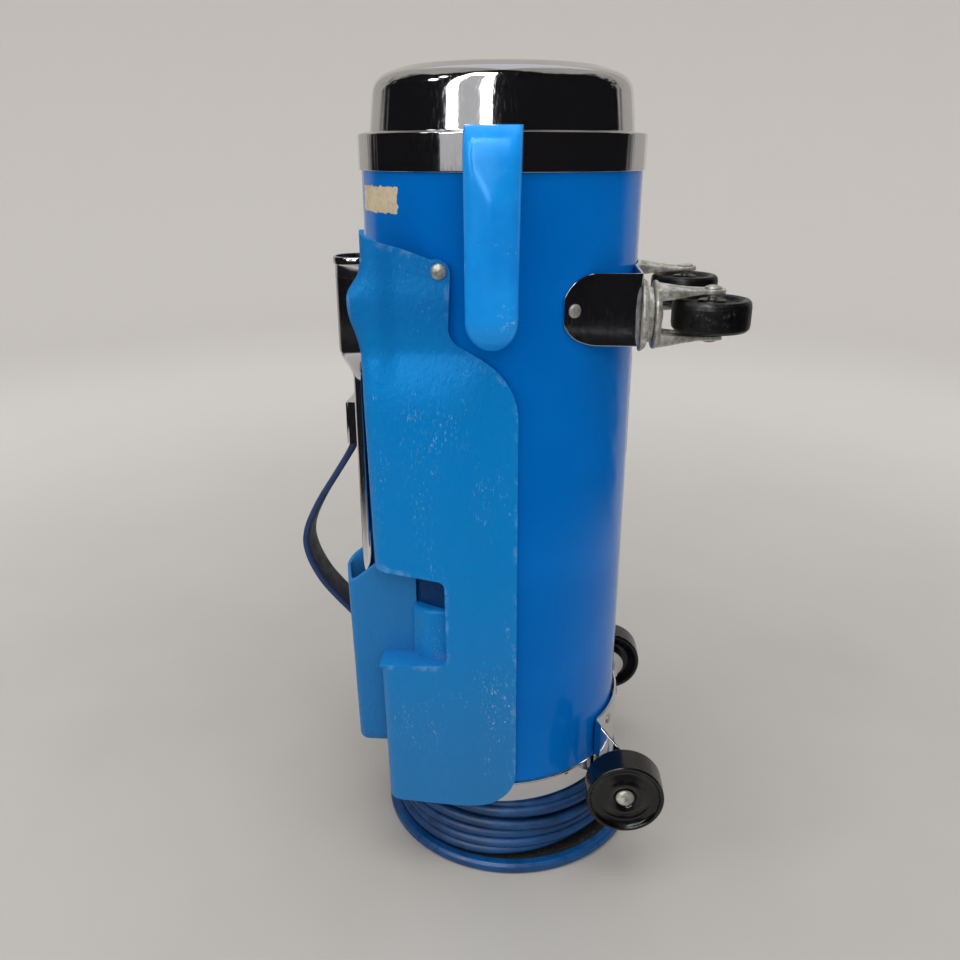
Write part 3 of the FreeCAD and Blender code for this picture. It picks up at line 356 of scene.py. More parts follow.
def cast_metal(name, color, roughness, metallic=1.0, lines=0.0):
    """Plain worked metal for the inner pieces, with turning or lamination lines if wanted."""
    p = Paint(name, color, metallic=metallic, roughness=roughness)
    darker = tuple(c * 0.6 for c in color[:3]) + (1.0,)
    p.color(p.mix(p.blots(90.0, 6.0, 0.35, 0.7), darker, color))
    p.roughness(p.blots(200.0, 4.0, 0.3, 0.7, roughness - 0.08, roughness + 0.1))
    if lines:
        p.bump(p.bands("Z", lines), 0.15, 0.7)
    return p.bump(p.noise(500.0, 4.0), 0.02).material


def speckled_rubber():
    black, dust = srgb(20, 20, 21), srgb(112, 112, 112)
    p = Paint("base_rubber", black, roughness=0.7)
    specks = p.times(p.blots(800.0, 4.0, 0.56, 0.7, rough=0.8), p.blots(30.0, 3.0, 0.35, 0.7))
    p.color(p.mix(specks, black, dust))
    return p.bump(p.noise(600.0, 5.0), 0.06).material


def foam():
    p = Paint("foam", srgb(34, 34, 36), roughness=0.95)
    holes = p.cells(420.0)
    p.color(p.mix(p.steps(holes, 0.1, 0.5), srgb(12, 12, 13), srgb(52, 52, 55)))
    return p.bump(holes, 0.6).material


def make_materials():
    return {
        "tank_paint": enamel(),
        "chrome": chrome(),
        "tool_chrome": chrome("tool_chrome", 0.09, 0.5),
        "zinc_steel": zinc(),
        "caddy_plastic": moulded("caddy_moulding", srgb(44, 120, 182), srgb(0, 126, 202), 1.0),
        "pocket_plastic": moulded("pocket_moulding", srgb(38, 112, 174), srgb(44, 122, 186), 0.15),
        "grip_plastic": grip_plastic(),
        "wheel_plastic": black_plastic("wheel_plastic", 0.06, 0.2),
        "caster_plastic": black_plastic("caster_plastic", 0.95, 0.34),
        "black_plastic": black_plastic("black_plastic", 0.2, 0.3),
        # Dark navy for the sheet in the caddy's recess: painted shade of a deep hole.
        "recess_shade_paint": moulded("painted_recess_shade", srgb(0, 40, 92), srgb(0, 40, 92), 0.1),
        "cord_vinyl": vinyl("cord_vinyl", srgb(4, 74, 132), srgb(0, 46, 90), 0.45, dust=0.06),
        "bumper_vinyl": vinyl("bumper_vinyl", srgb(0, 78, 140), srgb(0, 58, 110), 0.34),
        "strap_vinyl": strap_vinyl(),
        # Near-black vinyl for the strap's inner face: painted shade of that shadowed side.
        "strap_painted_shade": vinyl("strap_painted_shade", srgb(20, 24, 34), srgb(13, 16, 24), 0.55, 800.0),
        "base_rubber": speckled_rubber(),
        "label_paper": old_paper("label_paper", srgb(202, 188, 158), srgb(160, 140, 108)),
        "plate_paper": old_paper("plate_paper", srgb(208, 208, 204), srgb(170, 170, 164)),
        "bag_paper": old_paper("bag_paper", srgb(176, 146, 104), srgb(150, 120, 82), 0.12),
        "card": old_paper("card", srgb(160, 134, 98), srgb(134, 108, 76)),
        "foam": foam(),
        "brass": cast_metal("brass", srgb(206, 170, 92), 0.3),
        "copper": cast_metal("copper", srgb(186, 104, 58), 0.35, lines=500.0),
        "lamination": cast_metal("lamination", srgb(120, 120, 124), 0.42, lines=700.0),
        "fan_aluminium": cast_metal("fan_aluminium", srgb(196, 198, 202), 0.32),
        "black_steel": cast_metal("black_steel", srgb(30, 30, 31), 0.45, 0.1),
    }


# ---------------------------------------------------------------- mesh helpers
def make(name, shape, finish, stands_for=(), body="housing", sharp=38.0, at=None):
    """A piece from a shape, its points in millimetres and its faces, that rides on a body."""
    mesh = bpy.data.meshes.new(name)
    points = [Vector(v) for v in shape[0]]
    if at is not None:
        points = [at @ v for v in points]
    mesh.from_pydata([v * MM for v in points], [], shape[1])
    tidy = bmesh.new()
    tidy.from_mesh(mesh)
    bmesh.ops.remove_doubles(tidy, verts=tidy.verts, dist=1e-6)
    bmesh.ops.recalc_face_normals(tidy, faces=tidy.faces)
    tidy.to_mesh(mesh)
    tidy.free()
    mesh.materials.append(MATERIAL[finish])
    piece = placed(name, mesh)
    smooth(piece, sharp)
    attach(piece, body)
    if stands_for:
        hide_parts(*stands_for)
    return piece


def smooth(piece, sharp):
    piece.data.shade_smooth()
    piece.data.set_sharp_from_angle(angle=radians(sharp))


def bake(piece, sharp=38.0):
    """Turns the piece's modifiers into its mesh."""
    bpy.context.view_layer.update()
    seen = piece.evaluated_get(bpy.context.evaluated_depsgraph_get())
    mesh = bpy.data.meshes.new_from_object(seen)
    piece.modifiers.clear()
    piece.data = mesh
    smooth(piece, sharp)


def bevel(piece, width, segments, limit):
    """Rounds edges that turn by more than limit degrees."""
    rounder = piece.modifiers.new("round", "BEVEL")
    rounder.width, rounder.segments = width * MM, segments
    rounder.limit_method, rounder.angle_limit = "ANGLE", radians(limit)
    return rounder


def fillet(points, radii, steps=6, closed=False, even=False):
    """Outline with its corners turned to arcs. radii has one radius for each point.

    With even, a corner without a bend still gives as many points as the others."""
    pts = [Vector(p) for p in points]
    out = []
    for i, corner in enumerate(pts):
        r = radii[i] if isinstance(radii, (list, tuple)) else radii
        inner = closed or 0 < i < len(pts) - 1
        if r <= 0 or not inner:
            out.append(corner)
            continue
        a, b = pts[i - 1] - corner, pts[(i + 1) % len(pts)] - corner
        reach_limit = 0.48 * min(a.length, b.length)
        a.normalize(), b.normalize()
        half = acos(max(-1.0, min(1.0, a.dot(b)))) / 2.0
        if half > pi / 2 - 0.01:
            out += [corner.copy() for _ in range(steps + 1 if even else 1)]
            continue
        reach = min(r / tan(half), reach_limit)
        r = reach * tan(half)
        middle = corner + (a + b).normalized() * (r / sin(half))
        start, end = corner + a * reach - middle, corner + b * reach - middle
        sweep = pi - 2.0 * half
        for k in range(steps + 1):
            t = k / steps
            w0, w1 = sin((1 - t) * sweep) / sin(sweep), sin(t * sweep) / sin(sweep)
            out.append(middle + start * w0 + end * w1)
    return out


def runs(loop, closed=True):
    """The outline's straight runs, as pairs of points."""
    pts = [Vector(p) for p in loop]
    return list(zip(pts, pts[1:] + (pts[:1] if closed else [])))


def held(loop, closed):
    """Outline with a point just inside each end of its long runs, so that flats shade flat."""
    out, long_run, inset = [], 2.5, 0.5
    for a, b in runs(loop, closed):
        out.append(a)
        if (b - a).length > long_run:
            step = (b - a).normalized() * inset
            out += [a + step, b - step]
    return out if closed else out + [Vector(loop[-1])]


def lathe(profile, segments=128):
    """Points and faces of an outline of (radius, height) turned about +Z.

    An outline that starts on the axis ends there; any other is joined to its start."""
    verts, faces, rows = [], [], []
    closed = profile[0][0] > 0.0
    profile = held([tuple(p)[:2] for p in profile], closed)
    for r, z in profile:
        if r < 1e-6:
            rows.append([len(verts)] * segments)
            verts.append((0.0, 0.0, z))
            continue
        rows.append(list(range(len(verts), len(verts) + segments)))
        verts += [(r * cos(TAU * k / segments), r * sin(TAU * k / segments), z)
                  for k in range(segments)]
    pairs = list(zip(rows, rows[1:]))
    if closed:
        pairs.append((rows[-1], rows[0]))
    for a, b in pairs:
        for k in range(segments):
            n = (k + 1) % segments
            face = []
            for v in (a[k], a[n], b[n], b[k]):
                if v not in face:
                    face.append(v)
            if len(face) > 2:
                faces.append(face)
    return verts, faces


def skin(rings, wrap=False):
    """Points and faces over closed rings of equal counts, with end caps unless they wrap round."""
    verts = [p for ring in rings for p in ring]
    n, count, faces = len(rings[0]), len(rings), []
    for i in range(count if wrap else count - 1):
        a, b = i * n, (i + 1) % count * n
        faces += [(a + k, a + (k + 1) % n, b + (k + 1) % n, b + k) for k in range(n)]
    if not wrap:
        faces += [tuple(range(n))[::-1], tuple(range(len(verts) - n, len(verts)))]
    return verts, faces


def along(axis, at):
    """Matrix that puts +Z along axis, at a point in millimetres."""
    turn = Vector(axis).to_track_quat("Z", "Y").to_matrix().to_4x4()
    return Matrix.Translation(Vector(at)) @ turn


def inside(point, loop):
    x, y = point
    hit = False
    for (x0, y0), (x1, y1) in zip(loop, loop[1:] + loop[:1]):
        if (y0 > y) != (y1 > y) and x < (x1 - x0) * (y - y0) / (y1 - y0) + x0:
            hit = not hit
    return hit


def spaced(loop, step):
    """Closed outline with points no further apart than step."""
    out = []
    for a, b in runs(loop):
        n = max(1, ceil((b - a).length / step))
        out += [tuple(a.lerp(b, k / n)) for k in range(n)]
    return out


def formed_sheet(outline, place, thickness, us, vs, step=2.5):
    """Sheet of even thickness: a flat outline carried into space by place(u, v).

    place gives (point, normal); the sheet is laid below the point, against its normal.
    us and vs are the grid lines that carry the surface inside the outline."""
    rim = spaced([tuple(p)[:2] for p in outline], step)
    edges = [(k, (k + 1) % len(rim)) for k in range(len(rim))]
    rim_points = np.array(rim)
    points = rim + [(u, v) for u in us for v in vs if inside((u, v), rim)
                    and np.abs(rim_points - (u, v)).sum(1).min() > 0.55 * step]
    flat, _, tris, *_ = delaunay_2d_cdt([Vector(p) for p in points], edges, [], 0, 1e-5)
    keep = [tuple(tri) for tri in tris
            if inside(sum((flat[i] for i in tri), Vector((0, 0))) / 3.0, rim)]
    top, bottom = [], []
    for p in flat:
        point, normal = place(p.x, p.y)
        top.append(Vector(point))
        bottom.append(Vector(point) - Vector(normal) * thickness)
    n, sides = len(top), {}
    for a, b, c in keep:
        for e in ((a, b), (b, c), (c, a)):
            sides.setdefault(frozenset(e), []).append(e)
    faces = keep + [(c + n, b + n, a + n) for a, b, c in keep]
    faces += [(e[0][1], e[0][0], e[0][0] + n, e[0][1] + n) for e in sides.values() if len(e) == 1]
    return top + bottom, faces


def grid(low, high, step):
    n = max(1, round((high - low) / step))
    return [low + (high - low) * k / n for k in range(n + 1)]


class Path:
    """Plane polyline with lengths, for sheets bent along it."""

    def __init__(self, points):
        self.points = [Vector(p).to_2d() for p in points]
        self.at = [0.0]
        for a, b in zip(self.points, self.points[1:]):
            self.at.append(self.at[-1] + (b - a).length)
        self.length = self.at[-1]
        self.normals = []
        for i in range(len(self.points)):
            a, b = self.points[max(i - 1, 0)], self.points[min(i + 1, len(self.points) - 1)]
            d = (b - a).normalized()
            self.normals.append(Vector((d.y, -d.x)))

    def __call__(self, s):
        """Point and outward normal at length s; the ends run on straight."""
        k = min(max(int(np.searchsorted(self.at, s)) - 1, 0), len(self.points) - 2)
        t = (s - self.at[k]) / max(self.at[k + 1] - self.at[k], 1e-9)
        point = self.points[k].lerp(self.points[k + 1], t) if 0 <= t <= 1 else (
            self.points[k] + (self.points[k + 1] - self.points[k]) * t)
        t = min(max(t, 0.0), 1.0)
        return point, self.normals[k].lerp(self.normals[k + 1], t).normalized()


SIDES = (-1, "left"), (1, "right")


def polar(r, degrees):
    return Vector((r * cos(radians(degrees)), r * sin(radians(degrees))))


def s_curve(t):
    t = min(1.0, max(0.0, t))
    return t * t * (3.0 - 2.0 * t)


def dome(r, height):
    """Profile of a low domed head standing on z 0."""
    lip, rings = 0.4, 9
    pts = [(0.0, -1.0), (r * 0.8, -1.0), (r * 0.8, 0.0), (r, 0.0), (r, lip)]
    pts += [(r * cos(radians(90.0 * k / rings)),
             lip + (height - lip) * sin(radians(90.0 * k / rings))) for k in range(1, rings)]
    return pts + [(0.0, height)]


def slotted_head(name, r, height, at, axis, slot_turn, stands_for=(), width=1.1):
    """Domed screw head with a cut slot."""
    head = make(name, lathe(dome(r, height), 48), "zinc_steel", stands_for, at=along(axis, at))
    box = bmesh.new()
    bmesh.ops.create_cube(box, size=1.0)
    size = Matrix.Diagonal((3.0 * r * MM, width * MM, 1.2 * MM, 1.0))
    lift = Matrix.Translation((0, 0, (height - 0.1) * MM))
    turn = Matrix.Rotation(radians(slot_turn), 4, "Z")
    bmesh.ops.transform(box, matrix=along(axis, Vector(at) * MM) @ turn @ lift @ size, verts=box.verts)
    mesh = bpy.data.meshes.new("slot_cutter")
    box.to_mesh(mesh)
    box.free()
    cutter = placed("slot_cutter", mesh)
    cut = head.modifiers.new("slot", "BOOLEAN")
    cut.operation, cut.object, cut.solver = "DIFFERENCE", cutter, "EXACT"
    bake(head)
    bpy.data.objects.remove(cutter)


def strip(name, place, edge, thickness, finish, rim=0.5, stands_for=()):
    """Bent strip with rounded rims on the housing.

    edge has (s, low, high) along it; place(s, v) gives point and normal."""
    rings = []
    for s, low, high in edge:
        r = min(rim, 0.42 * (high - low), 0.45 * thickness)
        section = fillet([(low, 0.0), (high, 0.0), (high, -thickness), (low, -thickness)], r, 3, closed=True)
        flat = min(0.5, 0.1 * (high - low))
        supported = []
        for i, p in enumerate(section):
            supported.append(p)
            if i in (3, 11):
                run = (section[(i + 1) % 16] - p).normalized() * flat
                supported += [p + run, section[(i + 1) % 16] - run]
        ring = []
        for v, depth in supported:
            point, out = place(s, v)
            ring.append(point + out * depth)
        rings.append(ring)
    make(name, skin(rings), finish, stands_for, sharp=50.0)


def upright(path):
    """Place function for a strip that follows a plan path, with z across it."""
    def place(s, z):
        point, out = path(s)
        return Vector((point.x, point.y, z)), Vector((out.x, out.y, 0.0))
    return place


def seek(path, x, start, end):
    """Length along the path, between start and end, where its x is the one given."""
    rising = path(start)[0].x < path(end)[0].x
    for _ in range(40):
        mid = (start + end) / 2.0
        if (path(mid)[0].x < x) == rising:
            start = mid
        else:
            end = mid
    return (start + end) / 2.0


# ---------------------------------------------------------------- cord
TAIL = [(52.0, 80.0, 23.0), (33.0, 101.0, 22.0), (9.0, 113.0, 20.0), (-15.0, 121.0, 12.5),
        (-39.0, 125.5, 5.4), (-63.0, 127.5, 10.25)]
SLEEVE_ROOT, SLEEVE_TIP = Vector((16.0, 63.5, 50.0)), Vector((-20.0, 66.0, 50.0))


def winding_points():
    """Turns of the cord round the core: down the inside, up the middle, down the outside."""
    first = atan2(SLEEVE_TIP.y - WIND.y, SLEEVE_TIP.x - WIND.x) + 0.35
    last = atan2(TAIL[0][1] - WIND.y, TAIL[0][0] - WIND.x) - 0.12
    turns = 13 - (first - last) / TAU
    low, high = WIND.z0 + CORD_R, WIND.z1 - CORD_R
    inner, step = WIND.r - 22.3, 9.1
    layers = ((0.0, SLEEVE_TIP.z, 0), (1.9, low, 0), (2.3, low, 1), (7.2, high, 1), (7.6, high, 2),
              (turns - 0.45, low, 2), (turns, TAIL[0][2] + 0.4, 2))
    per_turn = 16
    count = int(turns * per_turn)
    points = []
    for i in range(count + 1):
        t = turns * i / count
        for (t0, z0, c0), (t1, z1, c1) in zip(layers, layers[1:]):
            if t0 <= t <= t1:
                k = (t - t0) / (t1 - t0)
                z, column = z0 + (z1 - z0) * k, c0 + (c1 - c0) * s_curve(k)
                break
        a = first + TAU * t
        loose = s_curve(column - 1.0)
        sway = sin(a + t * 2.4) * 1.5 + sin(a * 3.0 + t * 5.1) * 0.7
        sag = sin(a + t * 1.7 + 0.8) * 2.4 + sin(a * 2.0 - t * 3.9) * 1.4
        r = inner + step * column + loose * sway
        z = min(high, max(low, z + loose * sag))
        points.append((WIND.x + r * cos(a), WIND.y + r * sin(a), z))
    return points


def make_cord():
    points = [tuple(SLEEVE_TIP)] + winding_points() + TAIL
    curve = bpy.data.curves.new("mains_cord", "CURVE")
    curve.dimensions, curve.bevel_depth, curve.bevel_resolution = "3D", CORD_R * MM, 5
    curve.resolution_u, curve.use_fill_caps = 4, True
    line = curve.splines.new("NURBS")
    line.points.add(len(points) - 1)
    for spot, p in zip(line.points, points):
        spot.co = (p[0] * MM, p[1] * MM, p[2] * MM, 1.0)
    line.order_u, line.use_endpoint_u = 3, True
    curve.materials.append(MATERIAL["cord_vinyl"])
    cord = placed("mains_cord", curve)
    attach(cord, "housing")
    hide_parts("cord_winding", "cord_tail")
    return cord


def make_sleeve():
    """Tapered strain relief with bending grooves, and its foot on the core."""
    length = (SLEEVE_TIP - SLEEVE_ROOT).length
    pts = [(0.0, -3.0), (8.4, -3.0), (8.4, 2.0)]
    for i in range(8):
        z0, z1 = 4.0 + i * 4.0, 6.4 + i * 4.0
        r = 8.0 - 2.6 * (z0 / length)
        pts += [(r, z0 - 1.2), (r, z0), (r - 1.1, z0 + 0.5), (r - 1.1, z1 - 0.5), (r - 0.2, z1)]
    pts += [(5.3, length), (CORD_R + 0.05, length + 0.6), (0.0, length)]
    return make("strain_relief_sleeve", lathe(fillet(pts, 0.35, 2), 40), "cord_vinyl", ("strain_relief",),
                at=along(SLEEVE_TIP - SLEEVE_ROOT, SLEEVE_ROOT))


def make_plug():
    """Moulded plug with finger ribs, lying on the floor behind the tank."""
    a, b = Vector(TAIL[-2]), Vector(TAIL[-1])
    axis = Vector((b.x - a.x, b.y - a.y, 0.0)).normalized()
    pts = [(0.0, -2.0), (CORD_R + 0.6, -2.0), (CORD_R + 0.9, 3.0)]
    for i in range(4):
        z = 4.0 + i * 3.0
        pts += [(5.4 + 0.5 * i, z), (6.4 + 0.5 * i, z + 0.6), (6.4 + 0.5 * i, z + 1.8),
                (5.6 + 0.5 * i, z + 2.4)]
    pts += [(7.6, 17.0), (10.2, 21.0), (10.2, 30.0), (9.3, 32.0), (9.3, 36.0), (10.2, 38.0), (10.2, 41.0),
            (9.2, 42.0), (0.0, 42.0)]
    return make("plug_moulding", lathe(fillet(pts, 0.6, 3), 56), "cord_vinyl", ("plug_body",),
                at=along(axis, TAIL[-1]))


MATERIAL = make_materials()
make_camera()
cord = make_cord()
sleeve = make_sleeve()
plug = make_plug()


# ---------------------------------------------------------------- studio
def staged(name, verts, faces, material):
    """Mesh in metres that belongs to the studio."""
    mesh = bpy.data.meshes.new(name)
    mesh.from_pydata(verts, [], faces)
    mesh.materials.append(material)
    mesh.shade_smooth()
    piece = placed(name, mesh)
    return piece


def area_light(name, at, aim, size, power):
    data = bpy.data.lights.new(name, "AREA")
    data.size, data.energy = size, power
    aimed(name, data, at, Vector(aim) - Vector(at)).visible_glossy = False


def make_studio():
    """Pale floor that sweeps up into a round wall, and three soft lamps that leave no glints."""
    scene = bpy.context.scene
    scene.view_settings.view_transform = "Standard"
    world = bpy.data.worlds.new("studio")
    world.use_nodes = True
    sky = world.node_tree.nodes["Background"].inputs
    sky["Color"].default_value, sky["Strength"].default_value = srgb(236, 236, 238), 0.8
    scene.world = world
    p = Paint("studio_paper", srgb(190, 187, 182), roughness=0.8, specular=0.2)
    paper = p.mix(p.blots(3.0, 3.0, 0.35, 0.7), srgb(182, 179, 174), srgb(178, 175, 170))
    p.color(p.mix(p.steps(p.from_axis(), 0.3, 1.8), paper, srgb(231, 228, 224)))
    flat_r, wall_r, top = 2.42, 3.6, 3.4
    bend = wall_r - flat_r
    profile = [(0.0, 0.0), (0.5, 0.0), (1.0, 0.0)]
    profile += [(flat_r + bend * sin(radians(a)), bend * (1.0 - cos(radians(a))))
                for a in range(0, 91, 6)] + [(wall_r, top)]
    staged("floor", *lathe(profile, 96), p.bump(p.noise(60.0, 4.0), 0.1).material)
    area_light("top", (0.1, -0.3, 2.2), (0.0, 0.0, 0.2), 1.6, 21.5)
    area_light("left", (-1.6, -0.9, 1.3), (0.0, 0.0, 0.3), 1.0, 7.2)
    area_light("front", (0.5, -1.9, 1.5), (0.0, 0.0, 0.3), 1.0, 9.6)


def reflected_paper(name):
    """Dark paper that turns pale overhead and on the right-hand side. The floor's is pale near too."""
    dark, pale = srgb(28, 28, 31), srgb(200, 198, 194)
    p = Paint(name, dark, roughness=1.0, specular=0.0)
    away = p.from_axis()
    side = p.maths("DIVIDE", p.part_of_place("Y"), p.plus(away, 0.01))
    streaks = p.steps(p.noise(5.0, 3.0, 0.5, 0.0, p.stretched(1.0, 1.0, 0.15)), 0.3, 0.7, -0.12, 0.12)
    overhead = p.steps(p.part_of_place("Z"), 1.9, 2.36, 0.0, 0.9)
    share = p.steps(p.plus(p.plus(side, streaks), overhead), 0.36, 0.64)
    near = p.steps(away, 0.60, 0.95, 1.0, 0.0) if name == "dark_floor" else 0.0
    return p.color(p.mix(p.maths("MAXIMUM", share, near), dark, pale)).material


def make_reflections():
    """Dark hood and floor in front, and a hazy window in it, met only by reflections."""
    hood_r, pane_r, bar_r, a0, a1 = 2.4, 2.35, 2.3, -240.0, 60.0
    verts = []
    for k in range(61):
        a = radians(a0 + 5.0 * k)
        verts += [(r * cos(a), r * sin(a), 0.004) for r in (0.58, 2.39)]
    faces = [(2 * k, 2 * k + 1, 2 * k + 3, 2 * k + 2) for k in range(60)]
    screens = [staged("dark_hood", *sphere_patch(hood_r, a0, a1, 0.1, 90.0), reflected_paper("hood_cloth")),
               staged("dark_floor", verts, faces, reflected_paper("dark_floor")),
               staged("window_pane", *sphere_patch(pane_r, -134.0, -96.0, 12.0, 72.0),
                      Paint("window_haze", BLACK).shines(0.55))]
    bright = Paint("window_frame", BLACK).shines(9.0)
    bars = ((-134, -96, 66, 76), (-134, -125, 20, 66), (-105, -96, 20, 66), (-160, -152, 46, 51),
            (-157, -150, 56, 60))
    for i, bar in enumerate(bars):
        screens.append(staged("window_bar_%d" % i, *sphere_patch(bar_r, *bar), bright))
    for screen in screens:
        screen.visible_camera = screen.visible_shadow = screen.visible_diffuse = False


def sphere_patch(r, a0, a1, rise0, rise1):
    """Patch of a sphere between two azimuths and two elevations, in degrees, looking inwards."""
    n, m = max(2, round((a1 - a0) / 5.0)), max(2, round((rise1 - rise0) / 5.0))
    verts = []
    for i in range(m + 1):
        for k in range(n + 1):
            a = radians(a0 + (a1 - a0) * k / n)
            rise = radians(rise0 + (rise1 - rise0) * i / m)
            verts.append((r * cos(a) * cos(rise), r * sin(a) * cos(rise), r * sin(rise)))
    faces = [(i * (n + 1) + k, (i + 1) * (n + 1) + k, (i + 1) * (n + 1) + k + 1, i * (n + 1) + k + 1)
             for i in range(m) for k in range(n)]
    return verts, faces


make_studio()
make_reflections()


# ---------------------------------------------------------------- tank, pan and base
def make_tank():
    r0, r1 = TANK.r - 1.0, TANK.r
    side = grid(TANK.z0 + 2, TANK.z1 - 2, 24)
    profile = [(r0, TANK.z0), (r1, TANK.z0)] + [(r1, z) for z in side] + [(r1, TANK.z1), (r0, TANK.z1)]
    profile += [(r0, z) for z in grid(TANK.z1 - 2, TANK.z0 + 2, 24)]
    make("tank_tube", lathe(profile, 256), "tank_paint", ("canister_shell",))


def make_pan():
    """Chrome pan: band with a rolled top edge, bead and floor."""
    r, z0, z1 = PAN.r, PAN.z0, PAN.z1
    outer = fillet([(50.0, z0), (r - 3.0, z0), (r, z0 + 3.5), (r, z1 - 2.2), (r + 0.35, z1 - 1.4),
                    (r + 0.35, z1 - 0.5), (r - 0.3, z1), (TANK.r + 0.1, z1 - 0.3)], 1.0, 4)
    inner = [(TANK.r + 0.1, z0 + 5.0), (TANK.r - 3.0, z0 + 1.2), (50.0, z0 + 1.2)]
    make("pan_band", lathe(outer + inner, 256), "chrome", ("bottom_pan",))


def make_base():
    """Rubber disc and the vinyl bumper round it."""
    at = Matrix.Translation((DISC.x, DISC.y, 0.0))
    r, h = DISC.r, DISC.z1
    pts = fillet([(0.0, 0.0), (r, 0.0), (r, h), (r - 14.0, h), (r - 16.0, h - 0.8), (0.0, h - 0.8)],
                 [0, 0.5, 2.2, 0.8, 0.8, 0], 5)
    make("base_plate", lathe(pts, 192), "base_rubber", ("base_disc",), at=at)
    r0, r1 = DISC.r + 0.02, RIM.r
    pts = fillet([(r0, 0.0), (r1 - 1.5, 0.0), (r1, 2.0), (r1, h - 1.6), (r1 - 2.2, h + 0.7),
                  (r0 - 1.6, h + 0.9), (r0 - 1.6, h + 0.1), (r0, h + 0.1)],
                 [0.4, 1.2, 1.6, 1.8, 1.6, 0.3, 0.0, 0.0], 5, closed=True)
    make("base_rim", lathe(pts, 192), "bumper_vinyl", ("base_bumper",), at=at)


make_tank()
make_pan()
make_base()


# ---------------------------------------------------------------- lid
def make_lid():
    """Pressed lid: skirt with a rolled edge, step, steep wall, round shoulder, low crown."""
    skirt_r, z0, ledge, wall_r, foot_r, crown = LID.r, LID.z0, 563.0, 89.8, 93.5, LID.z1
    sheet, hole = 1.2, COLLAR.r - 8.5
    outer = fillet([(skirt_r - 0.9, z0), (skirt_r, z0 + 0.2), (skirt_r, ledge), (foot_r, ledge),
                    (wall_r, 598.0), (70.0, crown - 1.6), (hole, crown)],
                   [0.3, 0.4, 1.5, 1.4, 14.5, 30.0, 0.0], 10)
    inner = [(r - sheet if r > 40 else r, z - sheet if z > 580 else z) for r, z in outer[::-1]]
    inner = [(r, z if z > z0 + 1 else z + 0.4) for r, z in inner]
    make("lid_pressing", lathe(outer + inner, 256), "chrome", ("lid_shell",), body="lid")


make_lid()


# ---------------------------------------------------------------- lid handles
def grip_depth(x, z):
    """How far the handle's front stands out at a point of its front view: ridge, facet and top."""
    full, ridge = -GRIP.y0 + 0.25, 0.24
    sides = full - ridge * (hypot(x, 1.2) - 1.2) * (0.35 + 0.65 * s_curve((z - 440.0) / 70.0))
    facet = full - 0.13 * (z - 521.0)
    crown = full - 4.0 - 0.55 * (z - 551.0)
    soft = 0.28
    values = np.array([sides, facet, crown]) / soft
    low = values.min()
    return soft * (low - log(np.exp(low - values).sum()))


def sag(t):
    """Drop of a quarter circle of radius 1 at t along it."""
    return 1.0 - sqrt(max(0.0, 1.0 - t * t))


def grip_row(z, half, corner, way, y_of):
    """Points across the handle at a height, left to right or, where way is -1, right to left.

    y_of(x, t) also takes how far x is into the round corner, 0 to 1."""
    n, row = 18, []
    for k in range(n + 1):
        x = way * (-half + 2 * half * k / n)
        row.append((x, y_of(x, max(0.0, abs(x) - (half - corner)) / corner), z))
    return row


def grip_rings():
    half_top, half_low, z_low, z_top = 17.5, 16.3, GRIP.z0, GRIP.z1
    z_round, r_top = 454.0, 11.0
    lower = [z_low + (z_round - z_low) * (1.0 - cos(pi / 2 * k / 14)) for k in range(1, 14)]
    upper = [z_top - r_top * (1.0 - sin(pi / 2 * k / 9)) for k in range(1, 9)]
    heights = lower + grid(z_round, z_top - r_top, 4.0) + upper + [z_top - 0.05]
    rings = []
    for z in heights:
        if z < z_round:
            half = half_low * sqrt(max(1.0 - ((z_round - z) / (z_round - z_low)) ** 2, 0.0)) + 0.2
        else:
            half = half_low + (half_top - half_low) * (z - z_round) / (z_top - z_round)
        rise = max(0.0, z - (z_top - r_top)) / r_top
        pull = 20.0 * sag(max(0.0, 456.0 - z) / 23.5)
        back = 120.0
        if z < 470.0:
            back = 120.0 - 16.6 * s_curve((470.0 - z) / 20.0)
        if z > 530.0:
            back = 120.0 - 15.6 * s_curve((z - 528.0) / 12.0)
        back += 6.0 * sag(rise)
        outer, inner = min(6.5, half * 0.6), min(3.0, half * 0.3)
        ring = grip_row(z, half, outer, 1, lambda x, t: -max(
            grip_depth(x, z) - outer * 0.8 * sag(t) - r_top * sag(rise) * 0.75 - pull, back + 0.5))
        rings.append(ring + grip_row(z, half, inner, -1, lambda x, t: -(back + inner * sag(t))))
    return rings


def make_grips():
    shape = skin(grip_rings())
    for name, sign in (("left", 1.0), ("right", -1.0)):
        piece = make(name + "_grip", shape, "grip_plastic", (name + "_latch_handle",),
                     body=name + "_latch", sharp=60.0, at=Matrix.Diagonal((1.0, sign, 1.0, 1.0)))
        bevel(piece, 0.6, 2, 50.0)
        bake(piece, 60.0)


make_grips()


# ---------------------------------------------------------------- caddy
CORNER_R, SHEET = 10.0, 3.0
TAB_R, TAB_Z = 102.8, (128.0, 222.0)
QUARTER = CORNER_R * pi / 2.0


def hood(z):
    """Swelling round the thick end of the stored tool, 0 to 1."""
    return exp(-((z - 462.0) / (24.0 if z < 462.0 else 9.5)) ** 2)


def front_y(x, z):
    """Face of the panel: its body stands proud and slopes back, over the shoulder, to the flap."""
    slope = min(1.0, max(0.0, (z - 386.0) / 39.0)) ** 2
    proud = 108.5 - (5.5 + 4.4 * s_curve((x + 77.0) / 14.0)) * slope + 1.5 * hood(z)
    return -(proud - (proud - 103.0) * s_curve((x + 34.0) / 54.0))


def corner_x(z):
    return -(80.5 + 0.0225 * (min(z, 430.0) - 62.0) + 10.5 * hood(z) - 1.5 * s_curve((z - 470) / 20))


